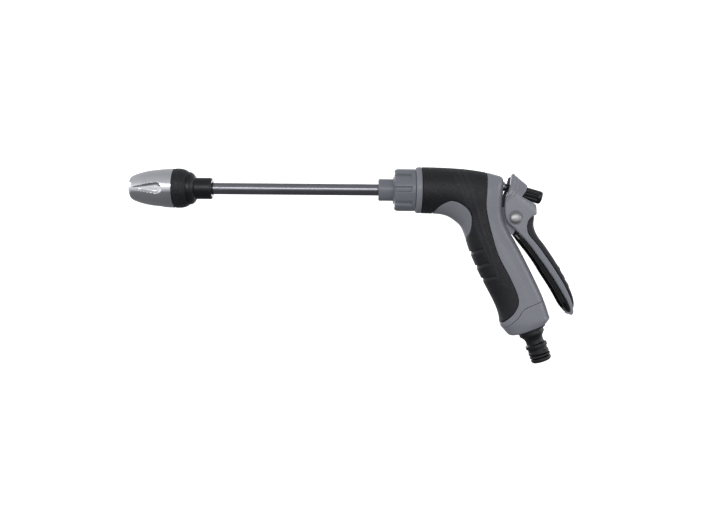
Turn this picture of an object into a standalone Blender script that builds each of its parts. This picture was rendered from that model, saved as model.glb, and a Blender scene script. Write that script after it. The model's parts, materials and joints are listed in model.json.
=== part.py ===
"""Watering wand: a rear-lever hose gun with a screw-on lance and a twist nozzle.

Metres, +Z up. +X runs from the nozzle towards the back of the gun, the wand is symmetric about Y = 0,
and the origin is the middle of the hand grip. The lance lies along X above the grip.
"""

import bpy
import bmesh
from math import copysign, cos, pi, radians, sin
from mathutils import Vector

# ---- driving dimensions -------------------------------------------------------------------------
GAP = 0.0003
LANCE_HEIGHT = 0.0592
TUBE_RADIUS = 0.0046
TUBE_BORE = 0.0038
GUN_FRONT = -0.0697
NUT_LENGTH = 0.0166
BUSH_RADIUS = 0.0087
SPOUT_RADIUS = 0.0130
NOZZLE_FRONT = -0.2965
SLEEVE_REAR = -0.2613
OVERMOULD_FRONT = -0.0650
OVERMOULD_THICKNESS = 0.0018
GRIP_WALL = 0.0046
PIVOT = (0.0087, 0.0369)
PIN_RADIUS = 0.0025
PIN_CLEARANCE = 0.0001
LEVER_HALF_WIDTH = 0.0110
CHEEK_THICKNESS = 0.0028
LUG_HALF_WIDTH = 0.0062
CHANNEL_HALF_WIDTH = 0.0093
VALVE_POINT = (0.0023, 0.0620)
VALVE_TILT = radians(16)
CHAMBER_RADIUS = 0.0042
STEM_RADIUS = 0.0015
KNOB_START = 0.0149
KNOB_SEAT_RADIUS = 0.0057
KNOB_END = 0.0302
KNOB_RADIUS = 0.0051
INLET_POINT = (0.0233, -0.0505)
INLET_TILT = radians(20.5)
SPIGOT_BORE = 0.0046
NUT_FLUTES = 9
NUT_FLUTE_TURN = radians(267)
NUT_FLUTE_HALF = radians(7.2)
SLEEVE_FLUTES = 4
SLEEVE_FLUTE_TURN = radians(-4.7)
ARCH_DEPTH = 0.0160
POCKET_DROP = 0.0016
KNOB_RIBS = 12
SPRING_TURNS = 5

# Cross-sections of the gun body, from the muzzle round the bend to the foot of the grip:
# inner point x, z (underside, then front of the grip), outer point x, z (top, then back of the grip),
# half-width across Y, and the superellipse exponent.
BODY_SECTIONS = [
    (-0.0697, 0.0408, -0.0697, 0.0776, 0.0184, 2.00),
    (-0.0570, 0.0406, -0.0550, 0.0775, 0.0184, 2.00),
    (-0.0491, 0.0401, -0.0410, 0.0770, 0.0182, 2.00),
    (-0.0428, 0.0383, -0.0280, 0.0760, 0.0179, 2.05),
    (-0.0380, 0.0352, -0.0150, 0.0741, 0.0175, 2.10),
    (-0.0348, 0.0326, -0.0045, 0.0716, 0.0170, 2.20),
    (-0.0330, 0.0306, -0.0006, 0.0699, 0.0166, 2.25),
    (-0.0318, 0.0285, 0.0005, 0.0670, 0.0163, 2.30),
    (-0.0306, 0.0258, 0.0004, 0.0610, 0.0160, 2.30),
    (-0.0294, 0.0224, -0.0001, 0.0525, 0.0156, 2.30),
    (-0.0282, 0.0186, -0.0002, 0.0440, 0.0152, 2.30),
    (-0.0266, 0.0136, 0.0015, 0.0364, 0.0149, 2.30),
    (-0.0246, 0.0084, 0.0050, 0.0278, 0.0146, 2.30),
    (-0.0220, 0.0023, 0.0099, 0.0196, 0.0144, 2.30),
    (-0.0180, -0.0064, 0.0155, 0.0095, 0.0143, 2.30),
    (-0.0121, -0.0177, 0.0217, -0.0025, 0.0142, 2.30),
    (-0.0070, -0.0272, 0.0270, -0.0132, 0.0142, 2.30),
    (-0.0036, -0.0346, 0.0309, -0.0215, 0.0143, 2.35),
    (-0.0017, -0.0406, 0.0338, -0.0285, 0.0145, 2.40),
    (-0.0012, -0.0450, 0.0360, -0.0347, 0.0147, 2.40),
    (-0.0002, -0.0484, 0.0373, -0.0388, 0.0148, 2.40),
    (0.0020, -0.0512, 0.0381, -0.0413, 0.0146, 2.40),
    (0.0044, -0.0538, 0.0368, -0.0436, 0.0138, 2.40),
    (0.0064, -0.0557, 0.0350, -0.0459, 0.0126, 2.40),
    (0.0084, -0.0561, 0.0338, -0.0466, 0.0116, 2.40),
]
FIRST_CAVITY_SECTION = 11
LAST_CAVITY_SECTION = 20

# Side-view lines, x and z.
OVERMOULD_REAR = [
    (-0.0130, 0.0900), (-0.0136, 0.0727), (-0.0150, 0.0570), (-0.0152, 0.0434), (-0.0111, 0.0257),
    (-0.0053, 0.0074), (0.0031, -0.0085), (0.0089, -0.0209), (0.0108, -0.0295), (0.0077, -0.0373),
    (0.0026, -0.0429), (-0.0019, -0.0467), (-0.0080, -0.0500),
]
OVERMOULD_OUTSIDE = [(-0.0300, -0.0500), (-0.0500, 0.0100), (-0.0500, 0.0250), (OVERMOULD_FRONT, 0.0250)]
WINDOW = [
    (-0.0562, 0.0400), (-0.0507, 0.0458), (-0.0418, 0.0495), (-0.0323, 0.0457), (-0.0271, 0.0396),
    (-0.0261, 0.0334), (-0.0268, 0.0265), (-0.0290, 0.0210),
]
WINDOW_OUTSIDE = [(-0.0450, 0.0150), (-0.0600, 0.0300)]
CAP_SEAM = [
    (0.0450, -0.0225), (0.0324, -0.0277), (0.0223, -0.0315), (0.0150, -0.0351), (0.0111, -0.0411),
    (0.0063, -0.0460), (0.0025, -0.0499), (-0.0050, -0.0560),
]
CAP_OUTSIDE = [(-0.0050, -0.0700), (0.0500, -0.0700), (0.0500, -0.0225)]
LEVER_REAR = [
    (0.0082, 0.0735), (0.0182, 0.0654), (0.0197, 0.0632), (0.0186, 0.0615), (0.0174, 0.0588),
    (0.0138, 0.0539), (0.0190, 0.0512), (0.0243, 0.0482), (0.0252, 0.0462), (0.0254, 0.0400),
    (0.0215, 0.0380), (0.0185, 0.0340), (0.0179, 0.0294), (0.0189, 0.0249), (0.0219, 0.0209),
    (0.0263, 0.0159), (0.0302, 0.0108), (0.0392, -0.0017), (0.0470, -0.0138), (0.0521, -0.0237),
    (0.0545, -0.0301), (0.0554, -0.0345), (0.0556, -0.0366), (0.0551, -0.0383), (0.0542, -0.0390),
    (0.0533, -0.0386),
]
LEVER_FRONT = [
    (0.0529, -0.0374), (0.0531, -0.0345), (0.0520, -0.0314), (0.0496, -0.0266), (0.0449, -0.0188),
    (0.0391, -0.0096), (0.0320, 0.0004), (0.0250, 0.0097), (0.0209, 0.0151), (0.0168, 0.0198),
    (0.0130, 0.0238), (0.0066, 0.0303), (0.0031, 0.0334), (0.0013, 0.0372), (0.0003, 0.0422),
    (0.0003, 0.0486), (0.0012, 0.0536), (0.0039, 0.0610), (0.0050, 0.0660), (0.0059, 0.0706),
]
HOOD_POCKET = [
    (-0.0060, 0.0700), (0.0085, 0.0700), (0.0153, 0.0642), (0.0160, 0.0628), (0.0148, 0.0606),
    (0.0140, 0.0590), (0.0106, 0.0548), (0.0179, 0.0486), (0.0212, 0.0466), (0.0220, 0.0420),
    (0.0196, 0.0398), (0.0162, 0.0352), (0.0154, 0.0300), (0.0156, 0.0262), (0.0110, 0.0235),
    (-0.0060, 0.0200),
]
CHANNEL_FRONT = [
    (0.0098, 0.0248), (0.0146, 0.0185), (0.0179, 0.0144), (0.0212, 0.0103), (0.0270, 0.0022),
    (0.0320, -0.0060), (0.0374, -0.0142), (0.0423, -0.0223), (0.0468, -0.0305), (0.0499, -0.0345),
    (0.0522, -0.0370),
]
CHANNEL_REAR = [
    (0.0526, -0.0368), (0.0527, -0.0346), (0.0516, -0.0314), (0.0493, -0.0268), (0.0446, -0.0190),
    (0.0388, -0.0098), (0.0317, 0.0002), (0.0247, 0.0095), (0.0206, 0.0149), (0.0165, 0.0196),
    (0.0127, 0.0235), (0.0102, 0.0262),
]
CHANNEL_HOLLOW = [
    (0.0508, -0.0322), (0.0482, -0.0264), (0.0435, -0.0186), (0.0377, -0.0094), (0.0306, 0.0006),
    (0.0236, 0.0099), (0.0195, 0.0153), (0.0157, 0.0198), (0.0120, 0.0300), (0.0000, 0.0300),
    (0.0200, -0.0200), (0.0400, -0.0400), (0.0480, -0.0345),
]
PIVOT_LUG = [
    (-0.0060, 0.0460), (0.0040, 0.0452), (0.0105, 0.0437), (0.0137, 0.0410), (0.0147, 0.0375),
    (0.0137, 0.0341), (0.0105, 0.0300), (0.0078, 0.0252), (0.0040, 0.0240), (-0.0060, 0.0280),
]
# Sections of the rubber pad: foot x, z on the lever, crown x, z and half-width.
PAD_SECTIONS = [
    (0.0243, 0.0392, 0.0250, 0.0388, 0.0050),
    (0.0219, 0.0376, 0.0248, 0.0363, 0.0090),
    (0.0191, 0.0339, 0.0246, 0.0337, 0.0103),
    (0.0184, 0.0295, 0.0248, 0.0310, 0.0106),
    (0.0195, 0.0252, 0.0258, 0.0277, 0.0106),
    (0.0224, 0.0212, 0.0274, 0.0242, 0.0105),
    (0.0267, 0.0163, 0.0303, 0.0200, 0.0103),
    (0.0306, 0.0112, 0.0343, 0.0149, 0.0102),
    (0.0396, -0.0013, 0.0425, 0.0026, 0.0098),
    (0.0475, -0.0134, 0.0500, -0.0111, 0.0092),
    (0.0526, -0.0233, 0.0549, -0.0214, 0.0085),
    (0.0550, -0.0298, 0.0567, -0.0286, 0.0076),
    (0.0558, -0.0336, 0.0568, -0.0330, 0.0055),
]

# ---- scene, frames and materials ----------------------------------------------------------------
for old in list(bpy.data.objects):
    bpy.data.objects.remove(old, do_unlink=True)


def frame(name, x, z, turn_about_y=0.0):
    """An empty whose local X is an axis of the wand."""
    empty = bpy.data.objects.new(name, None)
    empty.location = (x, 0, z)
    empty.rotation_euler = (0, turn_about_y, 0)
    bpy.context.collection.objects.link(empty)
    return empty


GUN = frame("gun_frame", 0, 0)
LANCE = frame("lance_axis", 0, LANCE_HEIGHT)
VALVE = frame("valve_axis", *VALVE_POINT, VALVE_TILT)
INLET = frame("inlet_axis", *INLET_POINT, pi / 2 - INLET_TILT)
LEVER = frame("lever_pivot", *PIVOT)


def material(name, colour, roughness, metallic=0.0):
    made = bpy.data.materials.new(name)
    made.use_nodes = True
    shader = made.node_tree.nodes["Principled BSDF"]
    shader.inputs["Base Color"].default_value = (*colour, 1)
    shader.inputs["Roughness"].default_value = roughness
    shader.inputs["Metallic"].default_value = metallic
    made.diffuse_color = (*colour, 1)
    return made


GREY = material("grey_plastic", (0.20, 0.21, 0.235), 0.35)
NUT_GREY = material("nut_grey_plastic", (0.17, 0.175, 0.19), 0.40)
SOFT_BLACK = material("soft_black_rubber", (0.020, 0.021, 0.024), 0.65)
BLACK = material("black_plastic", (0.012, 0.012, 0.014), 0.40)
SEAL = material("seal_rubber", (0.015, 0.015, 0.015), 0.60)
CHROME = material("chrome_plate", (0.75, 0.76, 0.78), 0.12, 1.0)
STEEL = material("tube_steel", (0.55, 0.56, 0.58), 0.22, 1.0)
RIVET_METAL = material("rivet_aluminium", (0.80, 0.80, 0.79), 0.30, 1.0)
BRASS = material("valve_brass", (0.62, 0.48, 0.22), 0.30, 1.0)
NYLON = material("nylon", (0.62, 0.61, 0.56), 0.45)


# ---- mesh helpers -------------------------------------------------------------------------------
def finish(name, bm, parent, look):
    """Turns the bmesh into an object that faces outwards and hangs on its frame."""
    bmesh.ops.remove_doubles(bm, verts=bm.verts, dist=1e-6)
    bmesh.ops.recalc_face_normals(bm, faces=bm.faces)
    mesh = bpy.data.meshes.new(name)
    bm.to_mesh(mesh)
    bm.free()
    mesh.shade_smooth()
    mesh.set_sharp_from_angle(angle=radians(35))
    mesh.materials.append(look)
    made = bpy.data.objects.new(name, mesh)
    made.parent = parent
    bpy.context.collection.objects.link(made)
    return made


def helper(made):
    """Marks a cutter: it shapes others and isn't part of the wand."""
    made.hide_render = True
    made.display_type = "WIRE"
    return made


def boolean(made, operation, *others):
    for other in others:
        modifier = made.modifiers.new(operation.lower() + "_" + other.name, "BOOLEAN")
        modifier.operation = operation
        modifier.object = other
    return made


def turned(name, parent, look, profile, sides=20):
    """A piece turned about its frame's X axis. The profile is a list of (x, radius)."""
    bm = bmesh.new()
    points = [bm.verts.new((x, 0, radius)) for x, radius in profile]
    edges = [bm.edges.new(pair) for pair in zip(points, points[1:])]
    if profile[0][1] > 0:
        edges.append(bm.edges.new((points[-1], points[0])))
    bmesh.ops.spin(
        bm, geom=points + edges, cent=(0, 0, 0), axis=(1, 0, 0), angle=2 * pi, steps=sides, use_merge=True
    )
    return finish(name, bm, parent, look)


def ring(name, parent, look, start, end, inner, outer, sides=20):
    """A plain washer or bush with square edges."""
    return turned(name, parent, look, [(start, inner), (start, outer), (end, outer), (end, inner)], sides)


def rod(name, parent, look, start, end, radius, sides=20):
    return turned(name, parent, look, [(start, 0), (start, radius), (end, radius), (end, 0)], sides)


def o_ring(name, parent, centre, radius, thickness, sides=16):
    """A torus about the frame's X axis."""
    section = [
        (centre + thickness / 2 * cos(turn), radius + thickness / 2 * sin(turn))
        for turn in (2 * pi * step / 6 for step in range(6))
    ]
    return turned(name, parent, SEAL, section, sides)


def skinned(name, parent, look, rings, closed_ends=True):
    """Bridges a row of rings that all have the same number of points."""
    bm = bmesh.new()
    loops = [[bm.verts.new(point) for point in points] for points in rings]
    count = len(loops[0])
    rows = list(zip(loops, loops[1:]))
    if not closed_ends:
        rows.append((loops[-1], loops[0]))
    for first, second in rows:
        for i in range(count):
            j = (i + 1) % count
            bm.faces.new((first[i], first[j], second[j], second[i]))
    if closed_ends:
        bm.faces.new(reversed(loops[0]))
        bm.faces.new(loops[-1])
    return finish(name, bm, parent, look)


def prism(name, parent, look, outline, half_width, taper=None):
    """The side-view outline, extruded to both sides of Y = 0. The taper gives a width factor at a height."""
    at = parent.location
    sides = []
    for side in (-1, 1):
        sides.append([
            (x - at.x, side * half_width * (taper(z) if taper else 1), z - at.z) for x, z in outline
        ])
    return skinned(name, parent, look, sides)


def smooth_line(points, steps):
    """Catmull-Rom curve through the points, with this many steps for each span."""
    padded = [points[0]] + list(points) + [points[-1]]
    made = []
    for before, start, end, after in zip(padded, padded[1:], padded[2:], padded[3:]):
        for step in range(steps):
            t = step / steps
            made.append(tuple(
                b + t / 2 * (c - a + t * (2 * a - 5 * b + 4 * c - d + t * (3 * b - a - 3 * c + d)))
                for a, b, c, d in zip(before, start, end, after)
            ))
    return made + [tuple(points[-1])]


def grown(outline, distance):
    """The closed outline moved outwards by the distance, or inwards if it is negative."""
    area = sum(a[0] * b[1] - b[0] * a[1] for a, b in zip(outline, outline[1:] + outline[:1]))
    side = copysign(distance, area)
    moved = []
    for before, here, after in zip(outline[-1:] + outline, outline, outline[1:] + outline[:1]):
        first = Vector((here[1] - before[1], before[0] - here[0])).normalized()
        second = Vector((after[1] - here[1], here[0] - after[0])).normalized()
        across = (first + second).normalized()
        step = side / max(0.5, across.dot(first))
        moved.append((here[0] + across.x * step, here[1] + across.y * step))
    return moved


def power(value, exponent):
    return copysign(abs(value) ** exponent, value)


def body_ring(section, inset, sides):
    inner_x, inner_z, outer_x, outer_z, half_width, exponent = section
    inner, outer = Vector((inner_x, 0, inner_z)), Vector((outer_x, 0, outer_z))
    middle, half = (inner + outer) / 2, (outer - inner) / 2
    half *= 1 - inset / half.length
    points = []
    for step in range(sides):
        turn = 2 * pi * step / sides
        across = Vector((0, (half_width - inset) * power(sin(turn), 2 / exponent), 0))
        points.append(middle + half * power(cos(turn), 2 / exponent) + across)
    return points


def body_loft(name, look, inset=0.0, sides=22, first=0, last=None):
    """The gun's outer form, or the same form drawn inwards by the inset."""
    rings = [body_ring(row, inset, sides) for row in BODY_SECTIONS[first:last]]
    return skinned(name, GUN, look, rings)


# ---- gun body, overmould and end cap ------------------------------------------------------------
def wide_cutter(name, outline):
    return helper(prism(name, GUN, BLACK, outline, 0.030))


overmould_outline = smooth_line(OVERMOULD_REAR, 2) + OVERMOULD_OUTSIDE + [(OVERMOULD_FRONT, 0.0900)]
window_outline = smooth_line(WINDOW, 2) + WINDOW_OUTSIDE
cap_outline = CAP_SEAM + CAP_OUTSIDE

skin_inside = helper(body_loft("skin_inside", BLACK, OVERMOULD_THICKNESS))
recess_floor = helper(body_loft("recess_floor", BLACK, OVERMOULD_THICKNESS + GAP))
grip_cavity = helper(
    body_loft("grip_cavity", BLACK, GRIP_WALL, 14, FIRST_CAVITY_SECTION, LAST_CAVITY_SECTION + 1)
)
overmould_area = wide_cutter("overmould_area", overmould_outline)
window_hole = wide_cutter("window_hole", grown(window_outline, GAP / 2))
recess = wide_cutter("recess", grown(overmould_outline, GAP))
window_island = wide_cutter("window_island", grown(window_outline, -GAP / 2))
boolean(recess, "DIFFERENCE", recess_floor, window_island)
cap_area = wide_cutter("cap_area", cap_outline)
cap_clearance = wide_cutter("cap_clearance", grown(cap_outline, GAP))

BORE_END = -0.0260
SPOUT_END = -0.0795
barrel_bore = helper(turned(
    "barrel_bore", LANCE, BLACK,
    [(SPOUT_END - 0.002, 0), (SPOUT_END - 0.002, 0.0100), (BORE_END, 0.0100), (BORE_END + 0.004, 0)], 24
))
spout = helper(rod("spout", LANCE, GREY, SPOUT_END, GUN_FRONT + 0.002, SPOUT_RADIUS))
valve_chamber = helper(turned(
    "valve_chamber", VALVE, BLACK,
    [(-0.031, 0), (-0.031, 0.0026), (-0.0173, 0.0026), (-0.0173, CHAMBER_RADIUS), (0.006, CHAMBER_RADIUS),
     (0.006, 0)], 24
))
WATER_WAY = frame("water_way_axis", -0.008, 0.030, -pi / 2)
water_way = helper(rod("water_way", WATER_WAY, BLACK, 0, 0.032, CHAMBER_RADIUS))
lug = helper(prism("lug", LEVER, GREY, PIVOT_LUG, LUG_HALF_WIDTH))


def cross_hole(name, parent, radius, half_length, sides=24):
    """A hole along Y through the frame's origin."""
    made = rod(name, parent, BLACK, -half_length, half_length, radius, sides)
    made.rotation_euler = (0, 0, pi / 2)
    return helper(made)


lug_hole = cross_hole("lug_hole", LEVER, PIN_RADIUS + PIN_CLEARANCE, 0.02)

body_shell = body_loft("body_shell", GREY)
boolean(body_shell, "DIFFERENCE", recess)
boolean(body_shell, "UNION", spout, lug)
boolean(
    body_shell, "DIFFERENCE", cap_clearance, grip_cavity, barrel_bore, valve_chamber, water_way, lug_hole
)

grip_overmould = body_loft("grip_overmould", SOFT_BLACK)
boolean(grip_overmould, "INTERSECT", overmould_area)
boolean(grip_overmould, "DIFFERENCE", skin_inside, window_hole)

spigot_seat = helper(rod("spigot_seat", INLET, BLACK, -0.016, 0.004, 0.0093))
end_cap = body_loft("end_cap", GREY)
boolean(end_cap, "INTERSECT", cap_area)
boolean(end_cap, "DIFFERENCE", grip_cavity, spigot_seat)


# ---- hose inlet ---------------------------------------------------------------------------------
def inlet():
    turned("inlet_spigot", INLET, BLACK, [
        (-0.0075, SPIGOT_BORE), (-0.0075, 0.0082), (-0.0067, 0.0090), (0.0010, 0.0090), (0.0016, 0.0100),
        (0.0044, 0.0100), (0.0052, 0.0092), (0.0070, 0.0077), (0.0090, 0.0070), (0.0120, 0.0070),
        (0.0130, 0.0086), (0.0156, 0.0086), (0.0160, 0.0077), (0.0184, 0.0077), (0.0188, 0.0082),
        (0.0208, 0.0082), (0.0210, 0.0060), (0.0240, 0.0060), (0.0242, 0.0081), (0.0262, 0.0081),
        (0.0273, 0.0069), (0.0273, SPIGOT_BORE),
    ])
    o_ring("spigot_oring", INLET, 0.0225, 0.00735, 0.0021, 24)
    ring("inlet_washer", INLET, SEAL, GAP, 0.0010, 0.0093, 0.0122)


inlet()


# ---- lance, union nut and tube ------------------------------------------------------------------
def fluted_nut():
    """The union nut: square flutes on the grip, open towards the lance, a plain skirt and a front boss."""
    front = GUN_FRONT - NUT_LENGTH
    rear = GUN_FRONT - GAP
    stations = [
        (front, 0.0120, 0.0), (front, 0.0150, 0.0), (front + 0.0016, 0.0163, 0.0010),
        (front + 0.0030, 0.0167, 0.0014), (front + 0.0120, 0.0167, 0.0014), (front + 0.0142, 0.0167, 0.0),
        (rear, 0.0168, 0.0), (rear, 0.0135, 0.0), (front + 0.0028, 0.0135, 0.0),
        (front + 0.0028, 0.0090, 0.0), (front - 0.0012, 0.0090, 0.0), (front - 0.0012, 0.0100, 0.0),
    ]
    wall = radians(0.4)
    around = [
        (-NUT_FLUTE_HALF - wall, 0), (-NUT_FLUTE_HALF + wall, 1), (0.0, 1), (NUT_FLUTE_HALF - wall, 1),
        (NUT_FLUTE_HALF + wall, 0), (pi / NUT_FLUTES, 0),
    ]
    rings = []
    for x, radius, depth in stations:
        points = []
        for flute in range(NUT_FLUTES):
            for offset, deep in around:
                turn = NUT_FLUTE_TURN + 2 * pi * flute / NUT_FLUTES + offset
                reach = radius - depth * deep
                points.append((x, reach * sin(turn), reach * cos(turn)))
        rings.append(points)
    skinned("lance_nut", LANCE, NUT_GREY, rings, closed_ends=False)


def lance():
    front = GUN_FRONT - NUT_LENGTH
    fluted_nut()
    ring("slip_washer", LANCE, NYLON, front + 0.0031, front + 0.0039, 0.0090, 0.0125)
    turned("lance_bush", LANCE, NUT_GREY, [
        (front - 0.0128, TUBE_RADIUS + GAP), (front - 0.0128, 0.0078), (front - 0.0119, BUSH_RADIUS),
        (front + 0.0042, BUSH_RADIUS), (front + 0.0042, 0.0126), (front + 0.0052, 0.0126),
        (front + 0.0052, 0.0070), (front + 0.0034, 0.0070), (front + 0.0034, TUBE_RADIUS + GAP),
    ])
    ring("lance_face_seal", LANCE, SEAL, front + 0.0055, SPOUT_END - GAP, 0.0075, 0.0124)
    o_ring("tube_rear_seal", LANCE, front + 0.0044, 0.00580, 0.0018)
    ring("lance_tube", LANCE, STEEL, -0.2390, front + 0.0052, TUBE_BORE, TUBE_RADIUS)


lance()


# ---- nozzle -------------------------------------------------------------------------------------
def nozzle_barrel():
    turned("nozzle_barrel", LANCE, BLACK, [
        (-0.2315, TUBE_RADIUS + GAP), (-0.2315, 0.0074), (-0.2327, 0.0085), (-0.2446, 0.0085),
        (-0.2450, 0.0095), (-0.2458, 0.0107), (-0.2470, 0.0120), (-0.2485, 0.0128), (-0.2502, 0.0131),
        (-0.2503, 0.0112), (-0.2740, 0.0112),
        (-0.2750, 0.0102), (-0.2750, 0.0062), (-0.2440, 0.0062), (-0.2440, 0.0072), (-0.2418, 0.0072),
        (-0.2418, 0.0062), (-0.2393, 0.0062), (-0.2393, TUBE_RADIUS + GAP),
    ])


def spray_spindle():
    """The fixed cone that shapes the jet. Its foot is a square plug, so water passes at four flats."""
    sides = 16
    stations = [
        (-0.2700, 0.0041, 1.0), (-0.2765, 0.0041, 1.0), (-0.2765, 0.0026, 0.0), (-0.2850, 0.0026, 0.0),
        (-0.2900, 0.0010, 0.0),
    ]
    rings = []
    for x, radius, square in stations:
        points = []
        for step in range(sides):
            turn = 2 * pi * step / sides
            corner = 1 / max(abs(cos(turn)), abs(sin(turn)))
            reach = radius * (corner if square else 1)
            points.append((x, reach * sin(turn), reach * cos(turn)))
        rings.append(points)
    skinned("spray_spindle", LANCE, BRASS, rings)


def chrome_sleeve():
    """The twist sleeve, with teardrop flutes pressed into its cone."""
    outside = [
        (0.0000, 0.0084), (0.0008, 0.0092), (0.0032, 0.0104), (0.0080, 0.0119), (0.0136, 0.0132),
        (0.0192, 0.0142), (0.0256, 0.0150), (0.0352, 0.01575),
    ]
    inside = [
        (0.0352, 0.0124), (0.0457, 0.0124), (0.0457, 0.0115), (0.0286, 0.0115), (0.0286, 0.0130),
        (0.0262, 0.0130), (0.0262, 0.0115), (0.0100, 0.0115), (0.0085, 0.0090),
        (0.0085, 0.0030), (0.0060, 0.0030), (0.0000, 0.0078),
    ]
    sides = SLEEVE_FLUTES * 10
    flute_from, flute_length = 0.0032, 0.0240
    rings = []
    for index, (along, radius) in enumerate(outside + inside):
        points = []
        for step in range(sides):
            turn = 2 * pi * step / sides
            deep = 0.0
            if index < len(outside) and flute_from <= along < flute_from + flute_length:
                half = radians(4 + 14 * ((along - flute_from) / flute_length) ** 0.7)
                off = abs((turn + pi / SLEEVE_FLUTES) % (2 * pi / SLEEVE_FLUTES) - pi / SLEEVE_FLUTES)
                deep = 0.0011 * max(0.0, 1 - (off / half) ** 2)
            reach = radius - deep
            at = turn + SLEEVE_FLUTE_TURN
            points.append((NOZZLE_FRONT + along, reach * sin(at), reach * cos(at)))
        rings.append(points)
    skinned("chrome_sleeve", LANCE, CHROME, rings, closed_ends=False)


def nozzle():
    nozzle_barrel()
    spray_spindle()
    chrome_sleeve()
    turned("sleeve_grip_ring", LANCE, SOFT_BLACK, [
        (SLEEVE_REAR + GAP, 0.0127), (SLEEVE_REAR + GAP, 0.0156), (-0.2590, 0.01575), (-0.2560, 0.0156),
        (-0.2535, 0.0150), (-0.2515, 0.0141), (-0.2505, 0.0134), (-0.2505, 0.0127),
    ])
    o_ring("sleeve_seal", LANCE, NOZZLE_FRONT + 0.0274, 0.01210, 0.0014)
    o_ring("tube_front_seal", LANCE, -0.2429, 0.00590, 0.0018)


nozzle()


# ---- valve --------------------------------------------------------------------------------------
def valve_spring():
    """A coil of round wire between the stem's flange and the gland."""
    start, end, radius, wire = -0.0117, -0.0053, 0.0030, 0.00035
    curve = bpy.data.curves.new("valve_spring", "CURVE")
    curve.dimensions = "3D"
    curve.bevel_depth = wire
    curve.bevel_resolution = 1
    curve.use_fill_caps = True
    count = SPRING_TURNS * 8
    spline = curve.splines.new("POLY")
    spline.points.add(count)
    for step, point in enumerate(spline.points):
        turn = 2 * pi * SPRING_TURNS * step / count
        along = start + wire + (end - start - 2 * wire) * step / count
        point.co = (along, radius * sin(turn), radius * cos(turn), 1)
    curve.materials.append(STEEL)
    made = bpy.data.objects.new("valve_spring", curve)
    made.parent = VALVE
    bpy.context.collection.objects.link(made)


def valve():
    ring("valve_seat", VALVE, BRASS, -0.0170, -0.0152, 0.0025, CHAMBER_RADIUS - GAP)
    ring("valve_washer", VALVE, SEAL, -0.0149, -0.0135, 0.0018, 0.0036)
    ring("washer_screw", VALVE, BRASS, -0.0163, -0.0152, STEM_RADIUS + GAP, 0.0022, 24)
    turned("valve_stem", VALVE, STEEL, [
        (-0.0170, 0), (-0.0170, 0.0011), (-0.0166, STEM_RADIUS), (-0.0132, STEM_RADIUS), (-0.0132, 0.0036),
        (-0.0120, 0.0036), (-0.0120, STEM_RADIUS), (0.0262, STEM_RADIUS), (0.0267, 0.0010), (0.0267, 0),
    ], 16)
    valve_spring()
    o_ring("gland_seal", VALVE, -0.0042, 0.00255, 0.0012)
    turned("gland_nut", VALVE, STEEL, [
        (-0.0050, 0.0033), (-0.0050, 0.0039), (-0.0012, 0.0039), (-0.0012, 0.0030), (0.0026, 0.0030),
        (0.0026, 0.0019), (-0.0033, 0.0019), (-0.0033, 0.0033),
    ], 16)
    ring("knob_thrust_washer", VALVE, NYLON, KNOB_START - 0.0008, KNOB_START - GAP, 0.0019, 0.0034, 24)


def adjuster_knob():
    """The ribbed flow knob, screwed on the stem's end."""
    stations = [
        (KNOB_START, 0.0046, 0.0), (KNOB_START + 0.0005, KNOB_RADIUS, 0.0),
        (KNOB_START + 0.0012, KNOB_RADIUS, 0.0004), (KNOB_END - 0.0014, KNOB_RADIUS, 0.0004),
        (KNOB_END - 0.0006, KNOB_RADIUS - 0.0003, 0.0), (KNOB_END, KNOB_RADIUS - 0.0012, 0.0),
    ]
    sides = KNOB_RIBS * 3
    rings = []
    for x, radius, depth in stations:
        points = []
        for step in range(sides):
            turn = 2 * pi * step / sides
            reach = radius - depth * (step % 3 == 2)
            points.append((x, reach * sin(turn), reach * cos(turn)))
        rings.append(points)
    made = skinned("adjuster_knob", VALVE, BLACK, rings)
    bore = helper(rod("knob_bore", VALVE, BLACK, KNOB_START - 0.002, KNOB_END - 0.0030, 0.0018, 24))
    boolean(made, "DIFFERENCE", bore)


valve()
adjuster_knob()


# ---- lever --------------------------------------------------------------------------------------
def lever_taper(z):
    """The lever narrows below its shoulder, down to the tip."""
    shoulder, tip = 0.020, -0.040
    return 1 - 0.24 * min(1, max(0, (shoulder - z) / (shoulder - tip)))


def hood_arch(name, half_width, drop):
    """A long solid whose rounded top lies along the hood's top line, or the drop below it."""
    top, end = [Vector((x, 0, z)) for x, z in LEVER_REAR[:2]]
    along = (end - top).normalized()
    down = Vector((along.z, 0, -along.x))
    steps = 16
    length, reach, step_out = 0.10, 0.14, 0.0008
    profile = [(reach, half_width + step_out), (ARCH_DEPTH + step_out, half_width + step_out)]
    for step in range(steps + 1):
        turn = pi * step / steps
        profile.append((ARCH_DEPTH - (ARCH_DEPTH - drop) * sin(turn), half_width * cos(turn)))
    profile += [(ARCH_DEPTH + step_out, -half_width - step_out), (reach, -half_width - step_out)]
    foot = top - LEVER.location
    rings = [
        [foot + along * side * length + down * depth + Vector((0, y, 0)) for depth, y in profile]
        for side in (-1, 1)
    ]
    return helper(skinned(name, LEVER, BLACK, rings))


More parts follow.
